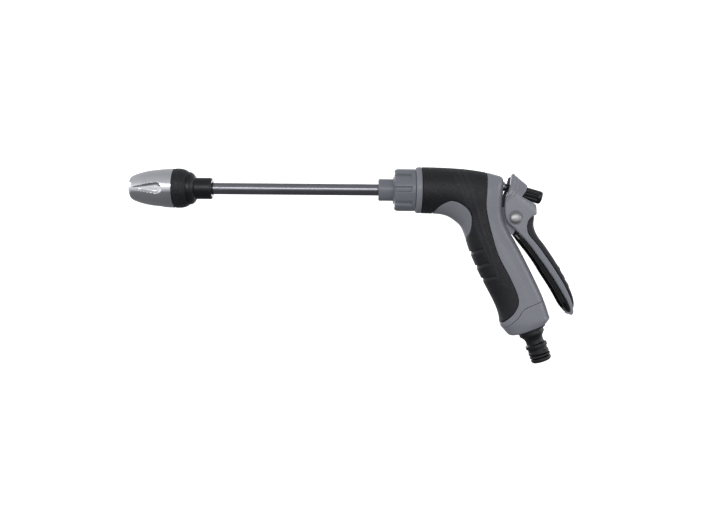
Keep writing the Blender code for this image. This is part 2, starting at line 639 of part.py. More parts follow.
def lever_frame():
    made = prism("lever_frame", LEVER, GREY, LEVER_REAR + LEVER_FRONT, LEVER_HALF_WIDTH, lever_taper)
    pocket_half = LEVER_HALF_WIDTH - CHEEK_THICKNESS
    pocket = helper(prism("hood_pocket", LEVER, BLACK, HOOD_POCKET, pocket_half))
    boolean(pocket, "INTERSECT", hood_arch("pocket_arch", pocket_half - GAP, POCKET_DROP))
    stem_hole = helper(rod("stem_hole", VALVE, BLACK, 0.004, 0.018, 0.0024, 24))
    knob_seat = helper(rod("knob_seat", VALVE, BLACK, KNOB_START - 0.0011, 0.024, KNOB_SEAT_RADIUS, 32))
    pin_hole = cross_hole("pin_hole", LEVER, PIN_RADIUS + PIN_CLEARANCE, 0.02)
    boolean(made, "INTERSECT", hood_arch("outer_arch", LEVER_HALF_WIDTH, 0.0))
    boolean(made, "DIFFERENCE", pocket, stem_hole, knob_seat, pin_hole)


def front_channel():
    """The black liner on the side that faces the grip: two walls and a web."""
    made = prism(
        "lever_front_channel", LEVER, BLACK, CHANNEL_FRONT + CHANNEL_REAR, CHANNEL_HALF_WIDTH, lever_taper
    )
    hollow = helper(prism("channel_hollow", LEVER, BLACK, CHANNEL_HOLLOW, 0.0066, lever_taper))
    boolean(made, "DIFFERENCE", hollow)


def back_pad():
    """The rubber pad under the palm: a crown on a flat foot."""
    count = 10
    rings = []
    for foot_x, foot_z, crown_x, crown_z, half_width in PAD_SECTIONS:
        foot = Vector((foot_x - PIVOT[0], 0, foot_z - PIVOT[1]))
        rise = Vector((crown_x - foot_x, 0, crown_z - foot_z))
        points = []
        for step in range(count + 1):
            turn = pi * step / count
            across = Vector((0, half_width * cos(turn), 0))
            points.append(foot + across + rise * power(sin(turn), 0.7))
        rings.append(points)
    skinned("lever_back_pad", LEVER, SOFT_BLACK, rings)


def pivot_rivet():
    head_from = LEVER_HALF_WIDTH + GAP
    half = [
        (head_from + 0.0013, 0), (head_from + 0.0012, 0.0018), (head_from + 0.0008, 0.0032),
        (head_from + 0.0002, 0.0042), (head_from, 0.0043), (head_from, PIN_RADIUS),
    ]
    profile = [(-x, radius) for x, radius in half] + half[::-1]
    made = turned("pivot_rivet", LEVER, RIVET_METAL, profile, 24)
    made.rotation_euler = (0, 0, pi / 2)


lever_frame()
front_channel()
back_pad()
pivot_rivet()
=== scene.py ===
"""Looks of the watering wand: fine meshes, procedural materials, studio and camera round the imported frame.

Metres, +Z up. +X runs from the nozzle towards the back of the gun, and the wand is symmetric about Y = 0.
Every fine piece stands for one CAD node, rides on that node's body and keeps its place and size.
"""

import json
from math import copysign, cos, hypot, pi, radians, sin, sqrt, tan

import bmesh
import bpy
import numpy as np
from mathutils import Matrix, Vector

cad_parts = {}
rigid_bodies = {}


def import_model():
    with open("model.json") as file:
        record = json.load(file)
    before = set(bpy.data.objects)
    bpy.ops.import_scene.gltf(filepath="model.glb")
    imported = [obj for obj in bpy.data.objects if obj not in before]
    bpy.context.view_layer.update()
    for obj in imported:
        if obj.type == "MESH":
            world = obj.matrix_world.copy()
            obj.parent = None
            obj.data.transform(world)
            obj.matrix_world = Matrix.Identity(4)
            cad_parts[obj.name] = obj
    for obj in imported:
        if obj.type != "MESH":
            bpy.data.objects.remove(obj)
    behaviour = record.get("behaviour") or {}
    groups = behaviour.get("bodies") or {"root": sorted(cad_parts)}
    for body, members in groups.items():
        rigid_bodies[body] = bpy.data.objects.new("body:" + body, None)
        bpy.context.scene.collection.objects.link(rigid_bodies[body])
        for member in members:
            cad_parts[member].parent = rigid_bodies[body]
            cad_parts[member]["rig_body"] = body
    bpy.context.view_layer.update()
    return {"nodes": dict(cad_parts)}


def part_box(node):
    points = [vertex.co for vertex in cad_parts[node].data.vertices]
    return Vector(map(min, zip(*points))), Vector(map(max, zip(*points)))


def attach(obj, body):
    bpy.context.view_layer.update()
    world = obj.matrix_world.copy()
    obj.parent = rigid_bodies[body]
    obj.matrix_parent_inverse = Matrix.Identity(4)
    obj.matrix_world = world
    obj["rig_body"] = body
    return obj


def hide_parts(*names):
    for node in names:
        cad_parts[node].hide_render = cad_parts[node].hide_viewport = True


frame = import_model()

# ---- places, from the frame ---------------------------------------------------------------------
GAP = 0.0003
LANCE_HEIGHT = sum(corner.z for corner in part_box("lance_tube")) / 2
TUBE_RADIUS = (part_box("lance_tube")[1].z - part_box("lance_tube")[0].z) / 2
NUT_BOSS = 0.0012
NUT_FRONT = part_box("lance_nut")[0].x + NUT_BOSS
GUN_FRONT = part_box("lance_nut")[1].x + GAP
SPOUT_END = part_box("body_shell")[0].x
NOZZLE_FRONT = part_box("chrome_sleeve")[0].x
SLEEVE_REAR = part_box("sleeve_grip_ring")[0].x - GAP
PIVOT_X = sum(corner.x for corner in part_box("pivot_rivet")) / 2
PIVOT_Z = sum(corner.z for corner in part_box("pivot_rivet")) / 2

# ---- driving dimensions -------------------------------------------------------------------------
VALVE_TILT = radians(16)
INLET_TILT = radians(20.5)
CHAMBER_RADIUS = 0.0042
STEM_RADIUS = 0.0015
STEM_HOLE_RADIUS = 0.0024
PIN_RADIUS = 0.0025
PIN_HOLE_RADIUS = 0.0026
RIVET_HEAD_RADIUS = 0.0043
LUG_HALF_WIDTH = 0.0062
KNOB_START = 0.0149
KNOB_SEAT_START = 0.0138
KNOB_SEAT_END = 0.0240
KNOB_SEAT_RADIUS = 0.0057
KNOB_END = 0.0302
KNOB_RADIUS = 0.0051
SPIGOT_BORE = 0.0046
SPIGOT_SOCKET_RADIUS = 0.0093
LEVER_HALF_WIDTH = 0.0110
LEVER_EDGE = 0.0011
CHEEK_THICKNESS = 0.0028
ARCH_DEPTH = 0.0160
POCKET_DROP = 0.0016
CHANNEL_HALF_WIDTH = 0.0093
CHANNEL_EDGE = 0.0007
CHANNEL_HOLLOW_HALF_WIDTH = 0.0066
CHANNEL_SLOT_DEPTH = 0.0016
NUT_FLUTES = 9
NUT_FLUTE_TURN = radians(267)
SLEEVE_FLUTES = 4
SLEEVE_FLUTE_TURN = radians(265.3)
KNOB_RIBS = 12

# Camera, matched to the flat view of the wand held level.
CAMERA_PLACE = (-0.11363, -0.557, 0.00303)
CAMERA_ROLL = 0.0085
CAMERA_LENS = 34.86

# Cross-sections of the gun body, from the muzzle round the bend to the foot of the grip:
# inner point x, z, outer point x, z, half-width across Y, and the superellipse exponent.
BODY_SECTIONS = [
    (-0.0660, 0.0408, -0.0660, 0.0776, 0.0184, 2.00),
    (-0.0570, 0.0406, -0.0550, 0.0775, 0.0184, 2.00),
    (-0.0491, 0.0401, -0.0410, 0.0770, 0.0182, 2.00),
    (-0.0428, 0.0383, -0.0280, 0.0760, 0.0179, 2.05),
    (-0.0380, 0.0352, -0.0150, 0.0741, 0.0175, 2.10),
    (-0.0348, 0.0326, -0.0045, 0.0716, 0.0170, 2.20),
    (-0.0330, 0.0306, -0.0006, 0.0699, 0.0166, 2.25),
    (-0.0318, 0.0285, 0.0005, 0.0670, 0.0163, 2.30),
    (-0.0306, 0.0258, 0.0004, 0.0610, 0.0160, 2.30),
    (-0.0294, 0.0224, -0.0001, 0.0525, 0.0156, 2.30),
    (-0.0282, 0.0186, -0.0002, 0.0440, 0.0152, 2.30),
    (-0.0266, 0.0136, 0.0015, 0.0364, 0.0149, 2.30),
    (-0.0246, 0.0084, 0.0050, 0.0278, 0.0146, 2.30),
    (-0.0220, 0.0023, 0.0099, 0.0196, 0.0144, 2.30),
    (-0.0180, -0.0064, 0.0155, 0.0095, 0.0143, 2.30),
    (-0.0121, -0.0177, 0.0217, -0.0025, 0.0142, 2.30),
    (-0.0070, -0.0272, 0.0270, -0.0132, 0.0142, 2.30),
    (-0.0036, -0.0346, 0.0309, -0.0215, 0.0143, 2.35),
    (-0.0017, -0.0406, 0.0338, -0.0285, 0.0145, 2.40),
    (-0.0012, -0.0450, 0.0360, -0.0347, 0.0147, 2.40),
    (-0.0002, -0.0484, 0.0373, -0.0388, 0.0148, 2.40),
    (0.0020, -0.0512, 0.0381, -0.0413, 0.0146, 2.40),
    (0.0044, -0.0538, 0.0368, -0.0436, 0.0138, 2.40),
    (0.0064, -0.0557, 0.0350, -0.0459, 0.0126, 2.40),
    (0.0084, -0.0561, 0.0338, -0.0466, 0.0116, 2.40),
]

# Side-view lines, x and z, as runs that are smooth inside and meet at corners.
OVERMOULD_FRONT = -0.0650
OVERMOULD_REAR = [
    (-0.0130, 0.0900), (-0.0136, 0.0727), (-0.0150, 0.0570), (-0.0152, 0.0434), (-0.0111, 0.0257),
    (-0.0053, 0.0074), (0.0031, -0.0085), (0.0089, -0.0209), (0.0108, -0.0295), (0.0077, -0.0373),
    (0.0026, -0.0429), (-0.0019, -0.0467), (-0.0080, -0.0500),
]
OVERMOULD_OUTSIDE = [(-0.0300, -0.0500), (-0.0500, 0.0100), (-0.0500, 0.0250), (OVERMOULD_FRONT, 0.0250)]
WINDOW = [
    (-0.0562, 0.0400), (-0.0507, 0.0458), (-0.0418, 0.0495), (-0.0323, 0.0457), (-0.0271, 0.0396),
    (-0.0261, 0.0334), (-0.0268, 0.0265), (-0.0290, 0.0210),
]
WINDOW_OUTSIDE = [(-0.0450, 0.0150), (-0.0600, 0.0300)]
CAP_SEAM = [
    (0.0450, -0.0225), (0.0324, -0.0277), (0.0223, -0.0315), (0.0150, -0.0351), (0.0111, -0.0411),
    (0.0063, -0.0460), (0.0025, -0.0499), (-0.0050, -0.0560),
]
CAP_OUTSIDE = [(-0.0050, -0.0700), (0.0500, -0.0700), (0.0500, -0.0225)]
LEVER_RUNS = [
    [(0.0082, 0.0735), (0.0182, 0.0654)],
    [(0.0182, 0.0654), (0.0197, 0.0632), (0.0186, 0.0615)],
    [(0.0186, 0.0615), (0.0174, 0.0588), (0.0138, 0.0539)],
    [(0.0138, 0.0539), (0.0190, 0.0512), (0.0243, 0.0482), (0.0252, 0.0462), (0.0254, 0.0400)],
    [(0.0254, 0.0400), (0.0215, 0.0380), (0.0185, 0.0340), (0.0179, 0.0294), (0.0189, 0.0249),
     (0.0219, 0.0209), (0.0263, 0.0159), (0.0302, 0.0108), (0.0392, -0.0017), (0.0470, -0.0138),
     (0.0521, -0.0237), (0.0545, -0.0301), (0.0554, -0.0345), (0.0556, -0.0366), (0.0551, -0.0383),
     (0.0542, -0.0390), (0.0533, -0.0386), (0.0529, -0.0374), (0.0531, -0.0345), (0.0520, -0.0314),
     (0.0496, -0.0266), (0.0449, -0.0188), (0.0391, -0.0096), (0.0320, 0.0004), (0.0250, 0.0097),
     (0.0209, 0.0151), (0.0168, 0.0198), (0.0130, 0.0238), (0.0066, 0.0303), (0.0031, 0.0334),
     (0.0013, 0.0372), (0.0003, 0.0422), (0.0003, 0.0486), (0.0012, 0.0536), (0.0039, 0.0610),
     (0.0050, 0.0660), (0.0059, 0.0706)],
]
HOOD_POCKET = [
    (-0.0060, 0.0700), (0.0085, 0.0700), (0.0153, 0.0642), (0.0160, 0.0628), (0.0148, 0.0606),
    (0.0140, 0.0590), (0.0106, 0.0548), (0.0179, 0.0486), (0.0212, 0.0466), (0.0220, 0.0420),
    (0.0196, 0.0398), (0.0162, 0.0352), (0.0154, 0.0300), (0.0156, 0.0262), (0.0110, 0.0235),
    (-0.0060, 0.0200),
]
CHANNEL_RUNS = [
    [(0.0098, 0.0248), (0.0146, 0.0185), (0.0179, 0.0144), (0.0212, 0.0103), (0.0270, 0.0022),
     (0.0320, -0.0060), (0.0374, -0.0142), (0.0423, -0.0223), (0.0468, -0.0305), (0.0499, -0.0345),
     (0.0522, -0.0370)],
    [(0.0526, -0.0368), (0.0527, -0.0346), (0.0516, -0.0314), (0.0493, -0.0268), (0.0446, -0.0190),
     (0.0388, -0.0098), (0.0317, 0.0002), (0.0247, 0.0095), (0.0206, 0.0149), (0.0165, 0.0196),
     (0.0127, 0.0235), (0.0102, 0.0262)],
]
CHANNEL_HOLLOW = [
    (0.0508, -0.0322), (0.0482, -0.0264), (0.0435, -0.0186), (0.0377, -0.0094), (0.0306, 0.0006),
    (0.0236, 0.0099), (0.0195, 0.0153), (0.0157, 0.0198), (0.0120, 0.0300), (0.0000, 0.0300),
    (0.0200, -0.0200), (0.0400, -0.0400), (0.0480, -0.0345),
]
CHANNEL_SLOT = [(0.0478, -0.0292), (0.0490, -0.0300), (0.0512, -0.0344), (0.0503, -0.0349), (0.0490, -0.0330)]
PIVOT_LUG = [
    (-0.0060, 0.0460), (0.0040, 0.0452), (0.0105, 0.0437), (0.0137, 0.0410), (0.0147, 0.0375),
    (0.0137, 0.0341), (0.0105, 0.0300), (0.0078, 0.0252), (0.0040, 0.0240), (-0.0060, 0.0280),
]
# The two creases of the hood, each with the area in front of it.
HOOD_CREASES = [
    [(0.0130, 0.0720), (0.0124, 0.0694), (0.0100, 0.0593), (0.0080, 0.0553), (0.0061, 0.0534),
     (0.0036, 0.0522), (-0.0040, 0.0500), (-0.0040, 0.0800), (0.0120, 0.0800)],
    [(0.0101, 0.0726), (0.0097, 0.0708), (0.0061, 0.0572), (0.0033, 0.0540), (-0.0040, 0.0515),
     (-0.0040, 0.0800), (0.0090, 0.0800)],
]
# Sections of the rubber pad: foot x, z on the lever, crown x, z and half-width.
PAD_SECTIONS = [
    (0.0243, 0.0392, 0.0250, 0.0388, 0.0050),
    (0.0219, 0.0376, 0.0248, 0.0363, 0.0090),
    (0.0191, 0.0339, 0.0246, 0.0337, 0.0103),
    (0.0184, 0.0295, 0.0248, 0.0310, 0.0106),
    (0.0195, 0.0252, 0.0258, 0.0277, 0.0106),
    (0.0224, 0.0212, 0.0274, 0.0242, 0.0105),
    (0.0267, 0.0163, 0.0303, 0.0200, 0.0103),
    (0.0306, 0.0112, 0.0343, 0.0149, 0.0102),
    (0.0396, -0.0013, 0.0425, 0.0026, 0.0098),
    (0.0475, -0.0134, 0.0500, -0.0111, 0.0092),
    (0.0526, -0.0233, 0.0549, -0.0214, 0.0085),
    (0.0550, -0.0298, 0.0567, -0.0286, 0.0076),
    (0.0558, -0.0336, 0.0568, -0.0330, 0.0055),
]
PAD_TEETH = [(0.0446, -0.0031), (0.0484, -0.0094), (0.0516, -0.0160)]
# Finger notches in the overmould: front end x, z and rear end x, z of each upper edge.
NOTCHES = [
    (-0.0247, 0.0108, -0.0176, 0.0133),
    (-0.0198, -0.0001, -0.0131, 0.0028),
    (-0.0140, -0.0100, -0.0073, -0.0078),
]
NOTCH_DEPTH = 0.00115
NOTCH_EDGES = (-0.00005, 0.00025, 0.0016, 0.0030)

# Seams of the gun: the rounded lips along them, and the recess that the overmould lies in.
BODY_EDGE = -0.00025
BODY_LIP = 0.00040
BODY_LIP_DEPTH = 0.00028
RECESS_DEPTH = 0.0021
OVERMOULD_EDGE = 0.00005
OVERMOULD_LIP = 0.00085
OVERMOULD_LIP_DEPTH = 0.00060
OVERMOULD_THICKNESS = 0.0018
BODY_CAP_LIP = 0.00035
BODY_CAP_LIP_DEPTH = 0.00025
CAP_LIP = 0.00045
CAP_LIP_DEPTH = 0.00035

# The dish round the rivet, as distances from its axis with the depth at each, and the hood's creases.
DISH_STEPS = (0.0046, 0.0050, 0.0056, 0.0062)
DISH_DEPTHS = (0.00055, 0.0005, 0.00012, 0)
CREASE_WIDTH = 0.0004
CREASE_RISE = 0.0004
TOOTH_HEIGHT = 0.0010
TOOTH_SLOPE = 0.0055
TOOTH_DROP = 0.0009

# Shares of a lip's width at which it is cut into facets.
LIP_SHARES = (0.0, 0.04, 0.15, 0.35, 0.65, 1.0)
SHARP_ANGLE = 38
BODY_SIDES = 112
WAND_MIDDLE = (-0.11, 0, 0.04)


# ---- material helpers ---------------------------------------------------------------------------
def linear(red, green, blue):
    """A display colour, 0 to 255, as linear light."""
    made = []
    for value in (red, green, blue):
        share = value / 255
        made.append(share / 12.92 if share <= 0.04045 else ((share + 0.055) / 1.055) ** 2.4)
    return (*made, 1)


class Look:
    """A Principled material whose colour, roughness and bump come from nodes in object space."""

    def __init__(self, name, **sockets):
        self.material = bpy.data.materials.new(name)
        self.material.use_nodes = True
        self.tree = self.material.node_tree
        self.shader = self.tree.nodes["Principled BSDF"]
        self.place = self.node("ShaderNodeTexCoord").outputs["Object"]
        self.normal = None
        for socket, value in sockets.items():
            self.shader.inputs[socket.replace("_", " ")].default_value = value

    def node(self, kind, **settings):
        made = self.tree.nodes.new(kind)
        for key, value in settings.items():
            setattr(made, key, value)
        return made

    def join(self, source, target):
        self.tree.links.new(source, target)

    def stretched(self, scale, turn=(0, 0, 0)):
        """Object coordinates scaled by three factors, after a turn."""
        mapping = self.node("ShaderNodeMapping")
        mapping.inputs["Scale"].default_value = scale
        mapping.inputs["Rotation"].default_value = turn
        self.join(self.place, mapping.inputs["Vector"])
        return mapping.outputs["Vector"]

    def noise(self, scale, detail, stretch=(1, 1, 1), turn=(0, 0, 0)):
        made = self.node("ShaderNodeTexNoise")
        made.inputs["Scale"].default_value = scale
        made.inputs["Detail"].default_value = detail
        self.join(self.stretched(stretch, turn), made.inputs["Vector"])
        return made.outputs["Fac"]

    def cells(self, scale):
        made = self.node("ShaderNodeTexVoronoi")
        made.inputs["Scale"].default_value = scale
        self.join(self.place, made.inputs["Vector"])
        return made.outputs["Distance"]

    def edges(self, low=0.51, high=0.60):
        """0 on flat surfaces and 1 on outside edges, where the looks paint an edge highlight."""
        return self.spread(self.node("ShaderNodeNewGeometry").outputs["Pointiness"], low, high, 0, 1)

    def hollows(self, low=0.42, high=0.49):
        """1 in the bottom of grooves and 0 on flat surfaces, where the looks paint shade."""
        return self.spread(self.node("ShaderNodeNewGeometry").outputs["Pointiness"], low, high, 1, 0)

    def spread(self, value, low, high, to_low, to_high):
        made = self.node("ShaderNodeMapRange")
        for key, number in (("From Min", low), ("From Max", high), ("To Min", to_low), ("To Max", to_high)):
            made.inputs[key].default_value = number
        self.join(value, made.inputs["Value"])
        return made.outputs["Result"]

    def math(self, operation, first, second):
        made = self.node("ShaderNodeMath", operation=operation)
        for socket, value in zip(made.inputs, (first, second)):
            if isinstance(value, (int, float)):
                socket.default_value = value
            else:
                self.join(value, socket)
        return made.outputs["Value"]

    def ramp(self, value, stops):
        made = self.node("ShaderNodeValToRGB")
        elements = made.color_ramp.elements
        while len(elements) < len(stops):
            elements.new(0.5)
        for element, (position, colour) in zip(elements, stops):
            element.position = position
            element.color = colour
        self.join(value, made.inputs["Fac"])
        return made.outputs["Color"]

    def mix(self, share, first, second):
        made = self.node("ShaderNodeMix", data_type="RGBA")
        self.join(share, made.inputs["Factor"])
        for socket, value in ((made.inputs["A"], first), (made.inputs["B"], second)):
            if isinstance(value, tuple):
                socket.default_value = value
            else:
                self.join(value, socket)
        return made.outputs["Result"]

    def bump(self, height, distance, strength):
        made = self.node("ShaderNodeBump")
        made.inputs["Strength"].default_value = strength
        made.inputs["Distance"].default_value = distance
        self.join(height, made.inputs["Height"])
        if self.normal is not None:
            self.join(self.normal, made.inputs["Normal"])
        self.normal = made.outputs["Normal"]
        return self

    def done(self, colour, roughness):
        self.join(colour, self.shader.inputs["Base Color"])
        self.join(roughness, self.shader.inputs["Roughness"])
        if self.normal is not None:
            self.join(self.normal, self.shader.inputs["Normal"])
        return self.material


def shaded(colour, factor):
    return tuple(min(1.0, channel * factor) for channel in colour[:3]) + (1,)


def moulded_plastic(name, colour, roughness, grain, gloss=0.5):
    """Injection-moulded plastic: faint flow marks, a fine spark grain, scuffs, paler edges that are a painted
    edge highlight, and painted shade in grooves and gaps.
    """
    look = Look(name, Specular_IOR_Level=gloss)
    flow = look.noise(45, 4, (1, 1, 1.6))
    body = look.ramp(flow, [(0.30, shaded(colour, 0.975)), (0.70, shaded(colour, 1.025))])
    # Painted edge highlight: the colour is made paler along outside edges.
    body = look.mix(look.edges(), body, shaded(colour, 1.45))
    # Painted shade: the colour drops to under a third in the bottom of grooves and gaps.
    body = look.mix(look.hollows(), body, shaded(colour, 0.30))
    scuffs = look.noise(260, 6, (1, 3, 0.6), (0.3, 0.5, 0.2))
    rough = look.math("ADD", look.spread(scuffs, 0.45, 0.80, roughness - 0.01, roughness + 0.05),
                      look.spread(flow, 0.3, 0.7, -0.02, 0.03))
    look.bump(look.noise(2600, 2), 0.00002 * grain, 0.5)
    look.bump(scuffs, 0.00001, 0.2)
    return look.done(body, rough)


def soft_rubber(name, colour, roughness, grain_scale=1700, depth=0.00016):
    """Soft-touch rubber with a pebbled grain whose tops catch the light, painted highlight specks, a cloudy
    tone and paler edges that are a painted edge highlight.
    """
    look = Look(name, Specular_IOR_Level=0.42, Sheen_Weight=0.02, Sheen_Roughness=0.5)
    pebbles = look.cells(grain_scale)
    cloud = look.noise(60, 4)
    tone = look.ramp(cloud, [(0.30, shaded(colour, 0.80)), (0.72, shaded(colour, 1.30))])
    # Painted highlight: bright specks over the grain, which are also a little glossier.
    painted_glints = look.spread(look.noise(grain_scale * 0.55, 2), 0.57, 0.72, 0, 1)
    tone = look.mix(painted_glints, tone, shaded(colour, 3.2))
    # Painted edge highlight: the colour is made paler along outside edges.
    tone = look.mix(look.edges(0.52, 0.62), tone, shaded(colour, 2.2))
    rough = look.math("ADD", look.spread(cloud, 0.3, 0.7, roughness - 0.06, roughness + 0.06),
                      look.math("MULTIPLY", painted_glints, -0.18))
    look.bump(pebbles, depth, 0.75)
    look.bump(look.noise(grain_scale * 0.4, 3), depth * 0.6, 0.5)
    return look.done(tone, rough)


def chrome_plate(name):
    """Bright chrome on plastic: slight orange peel, hairline scratches, dried water haze and painted shade in
    its hollows.
    """
    look = Look(name, Metallic=1.0)
    haze = look.noise(90, 5)
    tone = look.ramp(haze, [(0.35, linear(226, 229, 233)), (0.75, linear(240, 241, 243))])
    # Painted shade: darker chrome in the bottom of flutes and grooves.
    tone = look.mix(look.hollows(0.40, 0.47), tone, linear(150, 152, 156))
    hairs = look.noise(900, 3, (0.06, 1, 1), (0, 0.4, 0.2))
    rough = look.math("ADD", look.spread(haze, 0.45, 0.80, 0.13, 0.22),
                      look.spread(hairs, 0.62, 0.80, 0, 0.08))
    look.bump(look.noise(140, 2), 0.00006, 0.35)
    look.bump(hairs, 0.000004, 0.5)
    return look.done(tone, rough)


def drawn_metal(name, colour, roughness, stretch):
    """Drawn or turned metal with fine lines along one direction and uneven polish."""
    look = Look(name, Metallic=1.0)
    lines = look.noise(1500, 3, stretch)
    patches = look.noise(55, 4)
    tone = look.ramp(patches, [(0.30, shaded(colour, 0.90)), (0.70, shaded(colour, 1.04))])
    # Painted edge highlight: the colour is made paler along outside edges.
    tone = look.mix(look.edges(), tone, shaded(colour, 1.15))
    rough = look.math("ADD", look.spread(lines, 0.3, 0.7, roughness - 0.05, roughness + 0.07),
                      look.spread(patches, 0.35, 0.75, -0.02, 0.07))
    look.bump(lines, 0.000008, 0.6)
    return look.done(tone, rough)


def seal_rubber(name):
    look = Look(name, Specular_IOR_Level=0.45)
    cloud = look.noise(300, 4)
    tone = look.ramp(cloud, [(0.3, linear(24, 24, 25)), (0.75, linear(40, 40, 41))])
    rough = look.spread(cloud, 0.3, 0.7, 0.42, 0.62)
    look.bump(look.noise(3200, 2), 0.00002, 0.5)
    return look.done(tone, rough)


def nylon(name):
    look = Look(name, Subsurface_Weight=0.25, Subsurface_Scale=0.002)
    cloud = look.noise(180, 4)
    tone = look.ramp(cloud, [(0.3, linear(203, 200, 189)), (0.75, linear(222, 220, 210))])
    rough = look.spread(cloud, 0.3, 0.7, 0.38, 0.50)
    look.bump(look.noise(2400, 2), 0.000015, 0.5)
    return look.done(tone, rough)


GREY = moulded_plastic("grey_plastic", linear(132, 134, 141), 0.27, 1.0)
NUT_GREY = moulded_plastic("nut_plastic", linear(118, 121, 129), 0.33, 1.3)
BLACK = moulded_plastic("black_plastic", linear(18, 19, 23), 0.32, 1.2)
# The liner is black plastic with painted shade: a darker copy of the black look, for the inside of the
# lever's channel.
SHADED_LINER = moulded_plastic("liner_plastic_painted_shade", linear(10, 11, 14), 0.45, 1.2, 0.25)
RUBBER = soft_rubber("soft_rubber", linear(21, 22, 26), 0.50)
RING_RUBBER = soft_rubber("ring_rubber", linear(24, 26, 30), 0.48, 1150, 0.00022)
SEAL = seal_rubber("seal_rubber")
CHROME = chrome_plate("chrome")
STEEL = drawn_metal("tube_steel", linear(146, 148, 154), 0.18, (0.02, 1, 1))
RIVET = drawn_metal("rivet_metal", linear(168, 168, 168), 0.34, (1, 0.05, 1))
BRASS = drawn_metal("brass", linear(196, 166, 104), 0.26, (1, 0.1, 0.1))
NYLON = nylon("nylon")

SLOT_LOOKS = {
    "grey_plastic": GREY, "nut_plastic": NUT_GREY, "soft_rubber": RUBBER, "black_plastic": BLACK,
    "seal_rubber": SEAL, "chrome": CHROME, "tube_steel": STEEL, "rivet_metal": RIVET, "brass": BRASS,
    "nylon": NYLON,
}


# ---- outlines and fields ------------------------------------------------------------------------
def smooth(points, steps):
    """Catmull-Rom curve through the points, with this many steps for each span."""
    rows = [tuple(point) for point in points]
    padded = [rows[0]] + rows + [rows[-1]]
    made = []
    for before, start, end, after in zip(padded, padded[1:], padded[2:], padded[3:]):
        for step in range(steps):
            t = step / steps
            made.append(tuple(
                0.5 * (2 * b + (c - a) * t + (2 * a - 5 * b + 4 * c - d) * t**2
                       + (3 * b - a - 3 * c + d) * t**3)
                for a, b, c, d in zip(before, start, end, after)
            ))
    return made + [rows[-1]]


def outline_of(runs, steps=5):
    """One closed outline from runs that are smooth inside and meet at corners."""
    made = []
    for run in runs:
        line = smooth(run, steps) if len(run) > 2 else list(run)
        if made and hypot(made[-1][0] - line[0][0], made[-1][1] - line[0][1]) < 1e-9:
            line = line[1:]
        made += line
    return np.array(made)


def distance_to(points, outline):
    """Distance of side-view points from a closed outline, positive inside it."""
    start = np.asarray(outline, float)
    end = np.roll(start, -1, axis=0)
    along = end - start
    made = np.empty(len(points))
    for first in range(0, len(points), 4000):
        rows = points[first:first + 4000]
        offset = rows[:, None] - start[None]
        share = np.clip((offset * along).sum(-1) / np.maximum((along**2).sum(-1), 1e-18), 0, 1)
        apart = np.sqrt(((offset - share[..., None] * along) ** 2).sum(-1)).min(1)
        above = start[None, :, 1] > rows[:, None, 1]
        rise = np.where(np.abs(along[:, 1]) < 1e-12, 1e-12, along[:, 1])
        crossing_x = start[:, 0] + along[:, 0] * (rows[:, None, 1] - start[:, 1]) / rise
        crossed = (above != (end[None, :, 1] > rows[:, None, 1])) & (rows[:, None, 0] < crossing_x)
        made[first:first + 4000] = np.where(crossed.sum(1) % 2 == 1, apart, -apart)
    return made


def side_view(bm):
    return np.array([(vert.co.x, vert.co.z) for vert in bm.verts])


def put_field(bm, name, values):
    layer = bm.verts.layers.float.new(name)
    for vert, value in zip(bm.verts, values):
        vert[layer] = value
    return bm.verts.layers.float[name]


def cut(bm, name, levels, snap=0.00001):
    """Adds edges to the mesh along each level of a field, so that a shape can change exactly there."""
    for level in levels:
        layers = bm.verts.layers.float.values()
        layer = bm.verts.layers.float[name]
        for vert in bm.verts:
            if abs(vert[layer] - level) < snap:
                vert[layer] = level
        crossing = [
            edge for edge in bm.edges
            if (edge.verts[0][layer] - level) * (edge.verts[1][layer] - level) < 0
            and min(abs(vert[layer] - level) for vert in edge.verts) > 1e-8
        ]
        for edge in crossing:
            low, high = edge.verts
            share = (level - low[layer]) / (high[layer] - low[layer])
            mixed = [low[other] * (1 - share) + high[other] * share for other in layers]
            _, made = bmesh.utils.edge_split(edge, low, share)
            for other, value in zip(layers, mixed):
                made[other] = value
            made[layer] = level
        on_level = [vert for vert in bm.verts if abs(vert[layer] - level) < 1e-8]
        bmesh.ops.connect_verts(bm, verts=on_level)
    return bm.verts.layers.float[name]


def keep_above(bm, name, level):
    """Deletes the faces where the field is below the level."""
    layer = bm.verts.layers.float[name]
    gone = [
        face for face in bm.faces
        if sum(vert[layer] for vert in face.verts) / len(face.verts) < level
    ]
    bmesh.ops.delete(bm, geom=gone, context="FACES")
    loose = [vert for vert in bm.verts if not vert.link_faces]
    bmesh.ops.delete(bm, geom=loose, context="VERTS")


def lip(distance, width, depth):
    """How far an edge rounded to an ellipse drops below the surface, this far inside the edge."""
    if distance >= width:
        return 0.0
    return depth * (1 - sqrt(max(0.0, 1 - (1 - max(0.0, distance) / width) ** 2)))


def lip_levels(start, width):
    return [start + share * width for share in LIP_SHARES]


# ---- mesh helpers -------------------------------------------------------------------------------
def power(value, exponent):
    return copysign(abs(value) ** exponent, value)


def skin(rings, close_start=False, close_end=False, wrap=False):
    """A mesh over rings of points. A ring of one point closes the skin there."""
    bm = bmesh.new()
    loops = [[bm.verts.new(point) for point in ring] for ring in rings]
    pairs = list(zip(loops, loops[1:]))
    if wrap:
        pairs.append((loops[-1], loops[0]))
    for first, second in pairs:
        count = max(len(first), len(second))
        for i in range(count):
            j = (i + 1) % count
            corners = [first[i % len(first)], first[j % len(first)], second[j % len(second)],
                       second[i % len(second)]]
            bm.faces.new(list(dict.fromkeys(corners)))
    if close_start:
        bm.faces.new(reversed(loops[0]))
    if close_end:
        bm.faces.new(loops[-1])
    return bm


